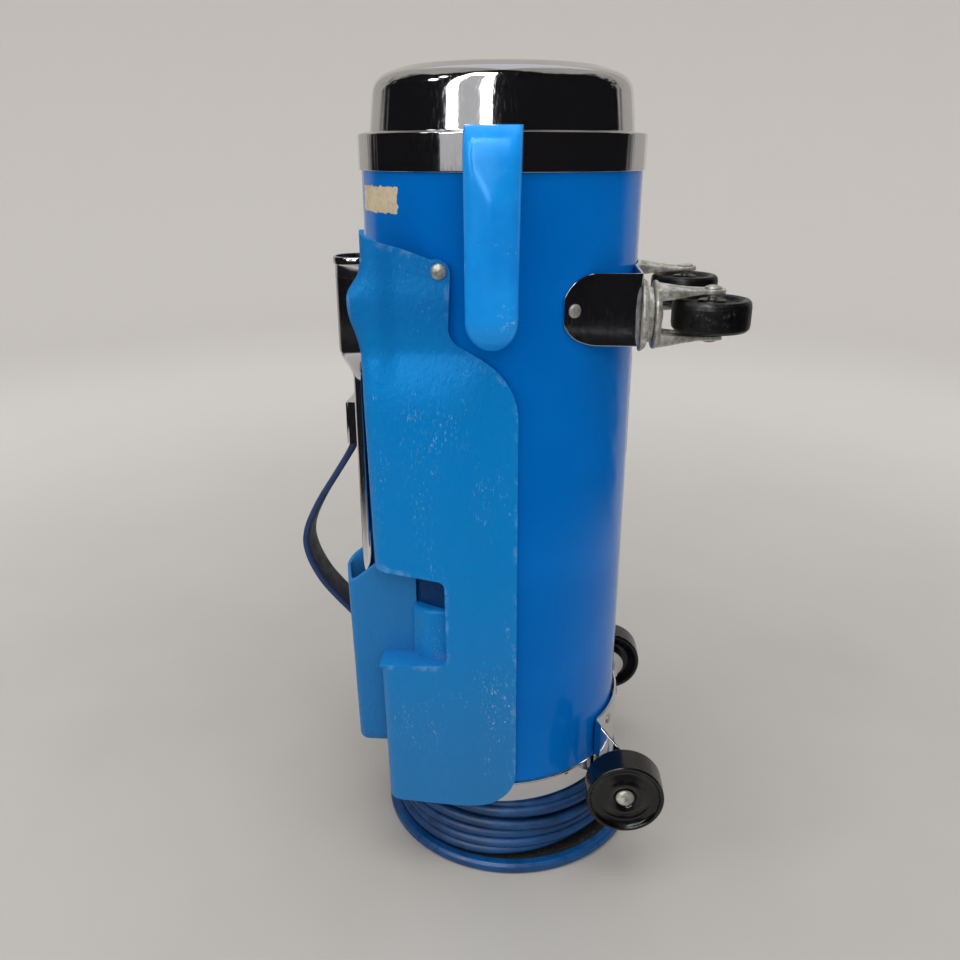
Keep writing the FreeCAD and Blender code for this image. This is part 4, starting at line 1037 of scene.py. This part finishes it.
def panel_point(u, z):
    """Caddy's outer face: u is x on the front and goes on round the corner into the side."""
    cx, cy = corner_x(z) + CORNER_R, front_y(-80.0, z) + CORNER_R
    if u >= cx:
        return Vector((u, front_y(u, z), z))
    turned = cx - u
    if turned <= QUARTER:
        a = turned / CORNER_R
        return Vector((cx - CORNER_R * sin(a), cy - CORNER_R * cos(a), z))
    return Vector((corner_x(z), cy + turned - QUARTER, z))


def panel_place(u, z):
    step = 0.4
    across = panel_point(u + step, z) - panel_point(u - step, z)
    upward = panel_point(u, z + step) - panel_point(u, z - step)
    return panel_point(u, z), across.cross(upward).normalized()


def panel_left(z):
    return corner_x(z) + CORNER_R - QUARTER - (1.5 + 12.0 * s_curve((440.0 - z) / 50.0))


def panel_edge(us, z_of_x):
    """Points of an edge that is drawn in the front view, carried round the corner."""
    out = []
    for u in us:
        z = z_of_x(u)
        for _ in range(4):
            z = z_of_x(panel_point(u, z).x)
        out.append((u, z))
    return out


def arc(cx, cz, r, a0, a1, n=14):
    return [(cx + r * cos(radians(a0 + (a1 - a0) * k / n)),
             cz + r * sin(radians(a0 + (a1 - a0) * k / n))) for k in range(n + 1)]


def top_edge(x):
    return 486.06 + 0.3903 * (-40.48 - x)


def low_edge(x):
    return 64.5 + 0.0744 * (-9.0 - x)


def notch_edge(x):
    return 269.5 + (0.094 if x < -82.0 else 0.17) * (-82.0 - x)


def panel_outline():
    loop = arc(-9.0, 92.5, 28.0, -90, 0) + arc(-30.0, 381.0, 47.0, 0, 62) + arc(-16.0, 442.6, 14.0, 242, 180)
    loop += arc(-37.4, 477.6, 9.0, 0, 110)
    top_left, notch_left = panel_left(520.0), panel_left(272.0)
    loop += panel_edge(grid(-44.0, top_left, 2.5), top_edge)
    loop += [(panel_left(z), z) for z in grid(loop[-1][1] - 3.0, 276.0, 3.0)]
    loop += panel_edge(grid(notch_left + 1.5, -46.0, 2.5), notch_edge)
    loop += [tuple(p) for p in fillet([(-44.0, notch_edge(-44.0)), (-34.2, 261.4), (-33.0, 190.7),
                                       (-80.0, 190.2)], 7.0)[1:]]
    loop += [(u, 190.1) for u in grid(-82.0, panel_left(188.0) + 1.5, 2.5)]
    loop += [(panel_left(z), z) for z in grid(187.5, 77.0, 3.0)]
    loop += panel_edge(grid(panel_left(74.0) + 1.5, -11.0, 2.5), low_edge)
    return loop


def make_caddy():
    shape = formed_sheet(panel_outline(), panel_place, SHEET, grid(-112.0, 18.0, 2.5),
                         grid(62.0, 522.0, 3.5))
    panel = make("caddy_shell", shape, "caddy_plastic", ("caddy_panel",), sharp=50.0)
    bevel(panel, 1.1, 3, 60.0)
    bake(panel, 50.0)
    walls = Path(fillet([(-32.9, 264.5), (-32.9, 190.5), (-84.0, 190.5)], 5.0))

    def liner(u, y):
        point, out = walls(u)
        return Vector((point.x, y, point.y)), Vector((out.x, 0.0, out.y))

    edge = []
    for u in grid(0.0, walls.length, 2.0):
        x = walls(u)[0].x
        edge.append((u, -106.4, -max(71.0, sqrt(max(0.0, 100.6 ** 2 - x * x)))))
    strip("caddy_shelf", liner, edge, 2.6, "caddy_plastic")
    # Dark navy sheet on the tank behind the notch's top: painted shade that makes the recess read deep.
    make("caddy_recess_shade", tank_patch(-130.0, -108.6, 233.0, 268.0, 100.2, 1.2, (2.0, 2.0, 2.0, 2.0)),
         "recess_shade_paint")
    make_notch_step()


def make_notch_step():
    """Raised lower half of the recess, with a sloping left side."""
    rings = []
    for z, back in ((190.4, 0.0), (228.5, 0.0), (230.6, 0.6), (231.8, 2.2), (232.2, 5.0)):
        front = [(-33.0, -96.6 + back), (-46.0, -96.4 + back), (-52.0, -94.0 + back), (-60.0, -87.0 + back)]
        rounded = fillet(front, 5.0, 4)
        rear = [(p.x, -sqrt(100.5 ** 2 - p.x ** 2) + 0.6, z) for p in rounded[::-1]]
        rings.append([(p.x, min(p.y, -sqrt(100.5 ** 2 - p.x ** 2)), z) for p in rounded] + rear)
    make("caddy_step", skin(rings), "caddy_plastic", sharp=45.0)


def pocket_ring(z_of, inset, clear):
    grow = 4.0 * (max(z_of(-90.0, -70.0), 106.0) - 106.0) / 194.0
    corners = [(-58.0 - inset, -84.0 + inset), (-106.0 - grow + inset, -84.0 + inset),
               (-113.0 - grow + inset, -53.0 - inset), (-58.0 - inset, -53.0 - inset)]
    loop = fillet(corners, [0.6, 6.0, 6.0, 0.6], 6, closed=True)
    ring = []
    for a, b in zip(loop, loop[1:] + loop[:1]):
        n = 9 if (b - a).length > 9.0 else 1
        for k in range(n):
            p = a.lerp(b, k / n)
            if p.length < clear:
                p = p.normalized() * clear
            ring.append((p.x, p.y, z_of(p.x, p.y)))
    return ring


def mouth(x, y):
    """Height of the pocket's slanting mouth."""
    return min(246.5 + 0.82 * (x + 108.2) + 0.43 * (y + 84.0), 286.0)


def make_pocket():
    """Open box: bottom edge, outside up to the mouth, rolled rim, inside down to the floor."""
    outside, inside_r, wall, floor = 100.4, 103.0, 2.6, 112.0
    rings = [pocket_ring(lambda x, y: z, inset, outside)
             for z, inset in ((106.0, 3.2), (106.7, 1.4), (108.4, 0.4), (111.0, 0.0))]
    rings += [pocket_ring(lambda x, y: 111.0 + (mouth(x, y) - 111.0) * t, 0.0, outside)
              for t in grid(0.06, 0.985, 0.06)]
    rings += [pocket_ring(lambda x, y: mouth(x, y) - down, inset, outside + inset)
              for down, inset in ((0.9, 0.1), (0.25, 0.6), (0.0, 1.4), (0.3, 2.2), (1.2, wall))]
    rings += [pocket_ring(lambda x, y: floor + (mouth(x, y) - floor) * t, wall, inside_r)
              for t in grid(0.94, 0.0, 0.1)]
    make("pocket_shell", skin(rings), "pocket_plastic", ("tool_pocket",),
         sharp=50.0)
    for i, z in enumerate(TAB_Z):
        tab = tank_patch(-164.0, -143.0, z - 9.0, z + 9.0, TAB_R, 2.4, (0.0, 4.0, 4.0, 0.0))
        make("pocket_tab_%d" % i, tab, "pocket_plastic")


def tank_patch(a0, a1, z0, z1, r, thickness, radii, ragged=0.0):
    """Sheet wrapped on the tank between two angles; radii are for its corners from low left."""
    s0, s1 = (radians(a) * r for a in (a0, a1))
    step = 0.8 if ragged else 2.5
    loop = fillet([(s0, z0), (s1, z0), (s1, z1), (s0, z1)], [radii[1], radii[0], radii[3], radii[2]], 5,
                  closed=True)
    loop = spaced(loop, step)
    if ragged:
        loop = [(s + ragged * noise.noise(Vector((s * 0.35, z * 0.35, 3.0))),
                 z + ragged * noise.noise(Vector((s * 0.4, z * 0.4, 9.0)))) for s, z in loop]

    def place(s, z):
        out = Vector((cos(s / r), sin(s / r), 0.0))
        return out * r + Vector((0.0, 0.0, z)), out

    return formed_sheet(loop, place, thickness, grid(s0, s1, 2.5), grid(z0, z1, 4.0), step)


def make_labels():
    """Torn paper label and the rating plate, both blank."""
    label_r, paper = 100.22, 0.17
    make("paper_label",
         tank_patch(-158.5, -130.0, 513.0, 529.5, label_r, paper, (0.4, 0.5, 0.3, 0.6), 1.5),
         "label_paper", ("labels",))
    make("rating_plate", tank_patch(-6.0, 16.0, 330.0, 408.0, label_r, paper, (1.5, 1.5, 1.5, 1.5)),
         "plate_paper")


make_caddy()
make_pocket()
make_labels()


# ---------------------------------------------------------------- crevice tool
def tool_ring(z, grow):
    """Section of the tool: round above, flat and narrow below, grown outwards by grow."""
    t = s_curve((426.0 - z) / 24.0)
    taper = 1.0 - 0.06 * min(1.0, max(0.0, (404.0 - z) / 178.0))
    cx, cy = -91.0 - 3.2 * t, -79.0 + 11.0 * t
    rx = 16.0 + (6.2 * taper - 16.0) * t + grow
    ry = 16.0 + (12.4 * taper - 16.0) * t + grow
    return [(cx + rx * cos(TAU * k / 64), cy + ry * sin(TAU * k / 64), z) for k in range(64)]


def make_tool():
    heights = grid(226.0, 400.0, 8.0) + grid(402.0, 428.0, 1.6) + grid(430.0, 481.2, 8.0)
    rings = [tool_ring(226.0, -0.7), tool_ring(226.0, -0.2)]
    rings += [tool_ring(z, 0.0) for z in heights]
    rings += [tool_ring(z, grow) for z, grow in ((481.9, 0.5), (482.6, 0.9), (486.0, 0.9), (486.8, 0.5),
                                                 (487.0, -0.2), (486.7, -0.9))]
    rings += [tool_ring(z, -1.0) for z in heights[::-1]]
    make("crevice_nozzle", skin(rings, wrap=True), "tool_chrome", ("crevice_tool",), body="tool",
         sharp=60.0)


make_tool()


# ---------------------------------------------------------------- strap
STRAP_LINE = [(-115.2, 366), (-115.2, 352), (-115.3, 341), (-117.6, 330), (-131.0, 308), (-148.0, 281),
              (-159.0, 256), (-158.5, 236), (-149.0, 214), (-137.0, 198), (-125.0, 184.5),
              (-117.4, 175), (-115.3, 165), (-115.2, 154), (-115.2, 140)]


def eased(points, n=6):
    """Catmull-Rom line through the points."""
    pts = [Vector(p) for p in points]
    pts = [2 * pts[0] - pts[1]] + pts + [2 * pts[-1] - pts[-2]]
    out = []
    for a, b, c, d in zip(pts, pts[1:], pts[2:], pts[3:]):
        for k in range(n):
            t = k / n
            out.append(0.5 * (2 * b + (c - a) * t + (2 * a - 5 * b + 4 * c - d) * t * t
                              + (3 * b - a - 3 * c + d) * t ** 3))
    return out + [pts[-2]]


def band(line, corners, radii, steps):
    """Rounded section of (outward, y) points carried along a line of (x, z) points."""
    section = fillet(corners, radii, steps, closed=True)
    return skin([[(point.x + out.x * n, y, point.y + out.y * n) for n, y in section]
                 for point, out in map(line, grid(0.0, line.length, 3.0))])


def make_strap():
    line = Path(eased(STRAP_LINE))
    crowned = [(-2.4, -15.0), (1.7, -15.0), (2.4, -11.5), (2.4, 11.5), (1.7, 15.0), (-2.4, 15.0)]
    make("strap_band", band(line, crowned, [1.2, 1.2, 2.0, 2.0, 1.2, 1.2], 4), "strap_vinyl",
         ("carry_strap",))
    # A near-black sheet on the strap's inner face: painted shade of the side that faces the tank.
    shade_section = [(-2.75, -12.6), (-2.2, -12.9), (-2.2, 12.9), (-2.75, 12.6)]
    make("strap_painted_shade", band(line, shade_section, 0.2, 2), "strap_painted_shade")


make_strap()


# ---------------------------------------------------------------- casters
def rivet(name, at, axis, r, height, stands_for=()):
    pts = [(0.0, -0.6), (r, -0.6), (r, 0.25)] + [
        (r * 0.93 * cos(radians(a)), 0.25 + (height - 0.25) * sin(radians(a)))
        for a in range(0, 90, 10)] + [(0.0, height)]
    make(name, lathe(pts, 40), "zinc_steel", stands_for, at=along(axis, at))


def on_tank(r, degrees, z):
    """Point at a radius, an angle and a height, and the direction outwards there."""
    return polar(r, degrees).to_3d() + Vector((0, 0, z)), polar(1.0, degrees).to_3d()


def mirrored_path(half, radii, steps):
    """Path through the points, their mirror image in y and the radii of both."""
    whole = half + [Vector((p[0], -p[1])) for p in half[::-1][1:]]
    between = [0] * (len(whole) - 2 * len(radii))
    return Path(fillet(whole, radii + between + radii[::-1], steps))


def mirrored_edge(path, edge, low, high):
    """Strip's edge carried on at full width to the path's middle, then mirrored."""
    edge = edge + [(s, low, high) for s in grid(edge[-1][0] + 1.0, path.length / 2.0, 1.5)]
    return edge + [(path.length - s, lo, hi) for s, lo, hi in edge[::-1][1:]]


def make_caster_bracket():
    half_z, mid_z, x_end = 24.0, 453.0, 68.0
    half = [polar(102.2, a) for a in (-63.5, -61, -59, -57, -55)]
    half += [Vector((61.5, -83.0)), Vector((97.0, -83.0)), Vector((97.0, -33.0))]
    half += [polar(102.5, a) for a in (-14, -11, -8, -5, -2.5, 0)]
    path = mirrored_path(half, [0, 0, 0, 0, 0, 5.0, 4.5, 5.0], 6)
    edge = []
    for a in grid(2.0, 90.0, 5.5):
        x, h = x_end - half_z * cos(radians(a)), half_z * sin(radians(a))
        edge.append((seek(path, x, 0.0, path.length / 4.0), mid_z - h, mid_z + h))
    strip("caster_band", upright(path), mirrored_edge(path, edge, mid_z - half_z, mid_z + half_z), 2.0,
          "chrome", stands_for=("caster_bracket",))
    for side, word in SIDES:
        rivet(word + "_tab_rivet", *on_tank(102.2, 59.0 * side, mid_z), 4.6, 1.9, ("caster_bracket_rivets",))
        for up in (0, 1):
            rivet("%s_band_rivet_%d" % (word, up), *on_tank(102.5, 5.0 * side, mid_z - 15.0 + 30.0 * up),
                  3.6, 1.6)


def make_fork_arms(word, y, ay, z):
    """Pressed yoke: a root as tall as the cup whose two legs narrow to the axle's rivets."""
    x_root, x_axle, end_r, top, flange = 107.2, 145.5, 8.5, 17.0, 14.6
    tip = [x_axle + end_r * sin(radians(a)) for a in grid(9.0, 88.0, 9.0)]
    for up, leg in ((1, "upper"), (-1, "lower")):
        rings = []
        for x in grid(x_root, x_axle, 1.8) + tip:
            t = s_curve((x - 112.0) / 30.0)
            middle, half = y + (ay - y) * t, 14.0 - 5.5 * t
            if x > x_axle:
                half = sqrt(max(end_r ** 2 - (x - x_axle) ** 2, 0.1))
            root = max(0.0, 1.0 - (x - x_root) / 31.0)
            rise, skirt = 4.4 * root ** 1.4, 3.0 + 3.2 * root ** 1.2
            foot, wall = top - skirt, half - min(2.2, half * 0.4)
            section = [(-half, top + 0.3 * rise), (-half * 0.72, top + 0.86 * rise), (0.0, top + rise),
                       (half * 0.72, top + 0.86 * rise), (half, top + 0.3 * rise), (half, foot), (wall, foot),
                       (wall, flange), (-wall, flange), (-wall, foot), (-half, foot)]
            soft = fillet(section, [1.0, 4.0, 4.0, 4.0, 1.0, 0.5, 0.5, 0.4, 0.4, 0.5, 0.5], 3, True, True)
            rings.append([(x, middle + v, z + up * h) for v, h in soft])
        make("%s_fork_%s_leg" % (word, leg), skin(rings), "zinc_steel", body=word + "_caster", sharp=45.0)
    web = []
    for h in grid(-20.0, 20.0, 2.5):
        half = sqrt(21.5 ** 2 - h * h) * 0.72
        soft = fillet([(x_root, -half), (110.6, -half * 0.8), (110.6, half * 0.8), (x_root, half)],
                      [0.3, 2.0, 2.0, 0.3], 3, closed=True)
        web.append([(x, y + v, z + h) for x, v in soft])
    make(word + "_fork_web", skin(web), "zinc_steel", body=word + "_caster", sharp=45.0)


def make_caster(side, word):
    """Raceway, pressed fork, axle and wheel of one caster; its swivel axis lies along +X."""
    y, ay, z, body = 68.0 * side, 62.6 * side, 448.0, word + "_caster"
    race = [(0.0, 0.0), (24.5, 0.0), (24.5, 1.2), (22.4, 3.8), (21.0, 4.0), (18.8, 3.2), (18.4, 4.4),
            (18.4, 7.6), (17.4, 7.9), (4.5, 7.9), (4.5, 13.0), (0.0, 13.0)]
    race = fillet(race, [0, 0, 1.0, 1.0, 0.8, 0.4, 0.3, 0.3, 0.4, 0.3, 0, 0], 4)
    make(word + "_race", lathe(race, 72), "zinc_steel", ("caster_races",),
         at=along((1, 0, 0), (97.0, y, z)))
    rivet(word + "_kingpin_head", (110.0, y, z), (1, 0, 0), 7.5, 2.6)
    cup = [(4.6, 0.0), (19.0, 0.0), (22.4, 0.2), (23.0, 1.2), (22.6, 2.6), (19.6, 4.5), (4.6, 4.5)]
    cup = fillet(cup, [0, 0.4, 0.8, 0.8, 1.2, 1.6, 0.3], 4, closed=True)
    make(word + "_fork_cup", lathe(cup, 72), "zinc_steel", (word + "_caster_fork",), body=body,
         at=along((1, 0, 0), (105.2, y, z)))
    make_fork_arms(word, y, ay, z)
    axle = [(0.0, -18.6), (3.0, -18.9), (4.6, -18.2), (5.0, -17.0), (3.0, -17.0), (3.0, -14.6), (5.5, -14.6),
            (5.5, -11.6), (3.0, -11.6), (3.0, 11.6), (5.5, 11.6), (5.5, 14.6), (3.0, 14.6), (3.0, 17.0),
            (6.0, 17.0), (5.6, 18.2), (3.4, 19.2), (0.0, 19.4)]
    make(word + "_caster_axle", lathe(fillet(axle, 0.5, 3), 48), "zinc_steel", body=body,
         at=Matrix.Translation((145.5, ay, z)))
    rim = [(3.06, 0.8), (8.6, 0.8), (9.5, 1.5), (10.2, 3.6), (18.0, 3.6), (20.2, 1.0), (22.0, 0.0),
           (24.6, 0.4), (26.1, 2.2), (26.5, 5.0), (26.5, 10.75)]
    wheel(word + "_caster_tread", word + "_caster_roller", rim, rim, 21.5, (145.5, ay, z - 10.75), (0, 0, 1),
          "caster_plastic", word + "_caster_wheel", 0.9)


def wheel(name, body, half, other, width, at, axis, finish, node, rounding):
    """Moulded wheel. half is its outline from the bore to mid tread; other is its far face's."""
    far = [(r, width - z) for r, z in other][::-1]
    pts = half + far[1:]
    pts = fillet(pts, [0.3] + [rounding] * (len(pts) - 2) + [0.3], 5, closed=True)
    make(name, lathe(pts), finish, (node,), body=body, at=along(axis, at))


# ---------------------------------------------------------------- fixed wheels
WHEEL_X, WHEEL_Z = 104.5, 80.4


def make_rear_bracket():
    low, high, top_x = 66.0, 118.0, 86.0
    half = [Vector((128.0, -83.5)), Vector((94.0, -83.5))] + [polar(103.6, a) for a in range(-36, 1, 3)]
    path = mirrored_path(half, [0, 9.0, 7.0], 8)
    end_r = WHEEL_Z - low
    dx, dz = top_x - WHEEL_X, high - WHEEL_Z
    lean = atan2(dz, dx) - acos(end_r / hypot(dx, dz))
    touch = (WHEEL_X + end_r * cos(lean), WHEEL_Z + end_r * sin(lean))
    edge = []
    for a in grid(radians(2.0), lean, 0.12):
        x = WHEEL_X + end_r * cos(a)
        edge.append((seek(path, x, 0.0, 36.0), WHEEL_Z - end_r * sin(min(a, pi / 2)),
                     WHEEL_Z + end_r * sin(a)))
    for x in grid(touch[0] - 1.0, top_x + 0.5, 1.6):
        z = touch[1] + (high - touch[1]) * (touch[0] - x) / (touch[0] - top_x)
        edge.append((seek(path, x, 0.0, 46.0), low, z))
    strip("wheel_band", upright(path), mirrored_edge(path, edge, low, high), 2.2, "chrome", 0.8,
          ("rear_bracket",))
    for i, a in enumerate((-24, 0, 24)):
        rivet("wheel_band_rivet_%d" % i, *on_tank(103.6, a, 106.0), 4.2, 1.8, ("rear_bracket_rivets",))


def make_rear_wheel(side, word):
    face = [(4.1, 3.9), (8.0, 3.9), (9.0, 2.6), (12.6, 0.9), (16.0, 2.4), (22.0, 4.4), (26.2, 2.6),
            (27.3, 0.2), (29.2, 0.0), (30.0, 1.0), (30.0, 12.25)]
    back = [(4.1, 0.8), (9.0, 0.8), (10.8, 1.6), (12.0, 4.4), (20.0, 4.6), (24.0, 2.0), (25.8, 0.3),
            (27.6, 0.0), (29.2, 0.4), (30.0, 1.6), (30.0, 12.25)]
    wheel(word + "_tyre", word + "_wheel", face, back, 24.5, (WHEEL_X, 111.5 * side, WHEEL_Z), (0, -side, 0),
          "wheel_plastic", word + "_rear_wheel", 2.6)
    out, at = (0, side, 0), (WHEEL_X, 108.2 * side, WHEEL_Z)
    slotted_head(word + "_bolt_head", 7.0, 3.4, at, out, 35.0, ("axle_bolts",), 1.2)
    shank = [(0.0, -32.0), (4.0, -31.4), (4.0, -29.5), (7.0, -29.3), (7.0, -24.2), (4.0, -24.0), (4.0, -22.0),
             (6.5, -22.0), (6.5, -21.2), (4.0, -21.0), (4.0, 0.0), (0.0, 0.0)]
    make(word + "_bolt_shank", lathe(fillet(shank, 0.3, 2), 48), "zinc_steel", at=along(out, at))


make_caster_bracket()
make_rear_bracket()
for side, word in SIDES:
    make_caster(side, word)
    make_rear_wheel(side, word)


# ---------------------------------------------------------------- screws, socket and bag
def make_screws():
    slotted_head("flap_screw", 5.2, 3.0, (-35.8, front_y(-35.8, 479.0), 479.0), (0, -1, 0), 20.0,
                 ("caddy_screws",))
    out = polar(1.0, -158.0).to_3d()
    for i, z in enumerate(TAB_Z):
        slotted_head("tab_screw_%d" % i, 4.6, 2.4, out * TAB_R + Vector((0, 0, z)), out, 50.0 + 40.0 * i)
    for i, z in enumerate((355.0, 151.0)):
        slotted_head("strap_screw_%d" % i, 4.5, 2.6, (-119.6, 0.0, z), (-1, 0, 0), 75.0 - 60.0 * i,
                     ("strap_screws",) if i == 0 else ())


def make_collar():
    """Hose socket with a rolled lip over the crown."""
    bore, z0, top = 19.0, COLLAR.z0, COLLAR.z1
    pts = [(bore, z0), (23.0, z0), (23.0, 601.0), (31.8, 601.0), (31.8, 603.4), (23.2, 603.6),
           (23.2, top - 0.9), (26.4, top - 0.6), (26.0, top), (20.4, top), (bore, top - 1.6)]
    make("hose_socket", lathe(fillet(pts, 0.45, 3, closed=True), 96), "chrome", ("hose_collar",),
         body="lid")


def make_bag():
    """Creased paper bag that hangs from its card, filled a little."""
    bag = Span("dust_bag")
    rings, n = [], 72
    for z in grid(bag.z0 + 4.0, bag.z1 - 1.0, 5.0):
        t = (z - bag.z0) / (bag.z1 - bag.z0)
        foot = min(1.0, 0.35 + 0.65 * sqrt(max(0.0, min(1.0, t / 0.08))))
        ends = foot * (1.0 - 0.62 * s_curve((t - 0.8) / 0.2))
        ring = []
        for k in range(n):
            a = TAU * k / n
            pleat = 0.035 * cos(6 * a) + 0.018 * cos(17 * a + 9.0 * t)
            crush = 0.05 * noise.noise(Vector((cos(a) * 1.6, sin(a) * 1.6, z * 0.02)))
            r = (bag.r - 4.0) * ends * (0.95 + pleat + crush)
            ring.append((bag.x + r * cos(a), bag.y + r * sin(a), z))
        rings.append(ring)
    piece = make("paper_bag", skin(rings), "bag_paper", ("dust_bag",), sharp=70.0)
    puff(piece, pressure=2.5, frames=12, cap=5.0)


def puff(piece, pressure, frames, cap):
    """Swells a closed piece by cloth under pressure, no point further than cap millimetres."""
    before = [v.co.copy() for v in piece.data.vertices]
    cloth = piece.modifiers.new("cloth", "CLOTH")
    cloth.settings.use_pressure, cloth.settings.uniform_pressure_force = True, pressure
    cloth.settings.effector_weights.gravity = 0.0
    cloth.settings.quality, cloth.settings.bending_stiffness = 5, 8.0
    cloth.point_cache.frame_start, cloth.point_cache.frame_end = 1, frames
    for step in range(1, frames + 1):
        bpy.context.scene.frame_set(step)
    seen = piece.evaluated_get(bpy.context.evaluated_depsgraph_get())
    after = [v.co.copy() for v in seen.data.vertices]
    piece.modifiers.remove(cloth)
    for vertex, a, b in zip(piece.data.vertices, before, after):
        move = b - a
        if move.length > cap * MM:
            move = move.normalized() * cap * MM
        vertex.co = a + move
    bpy.context.scene.frame_set(1)


make_screws()
make_collar()
make_bag()


# ---------------------------------------------------------------- finish
def dress_cad_nodes():
    """Each CAD node that still shows gets its finish, welded points and softened edges."""
    for row in frame["record"]["subparts"]:
        node = frame["nodes"][row["node"]]
        if node.hide_render:
            continue
        node.data.materials.clear()
        node.data.materials.append(MATERIAL[row["material_slot"]])
        weld = node.modifiers.new("weld", "WELD")
        weld.merge_threshold = 2e-5
        bevel(node, 0.35, 2, 40).harden_normals = True


dress_cad_nodes()
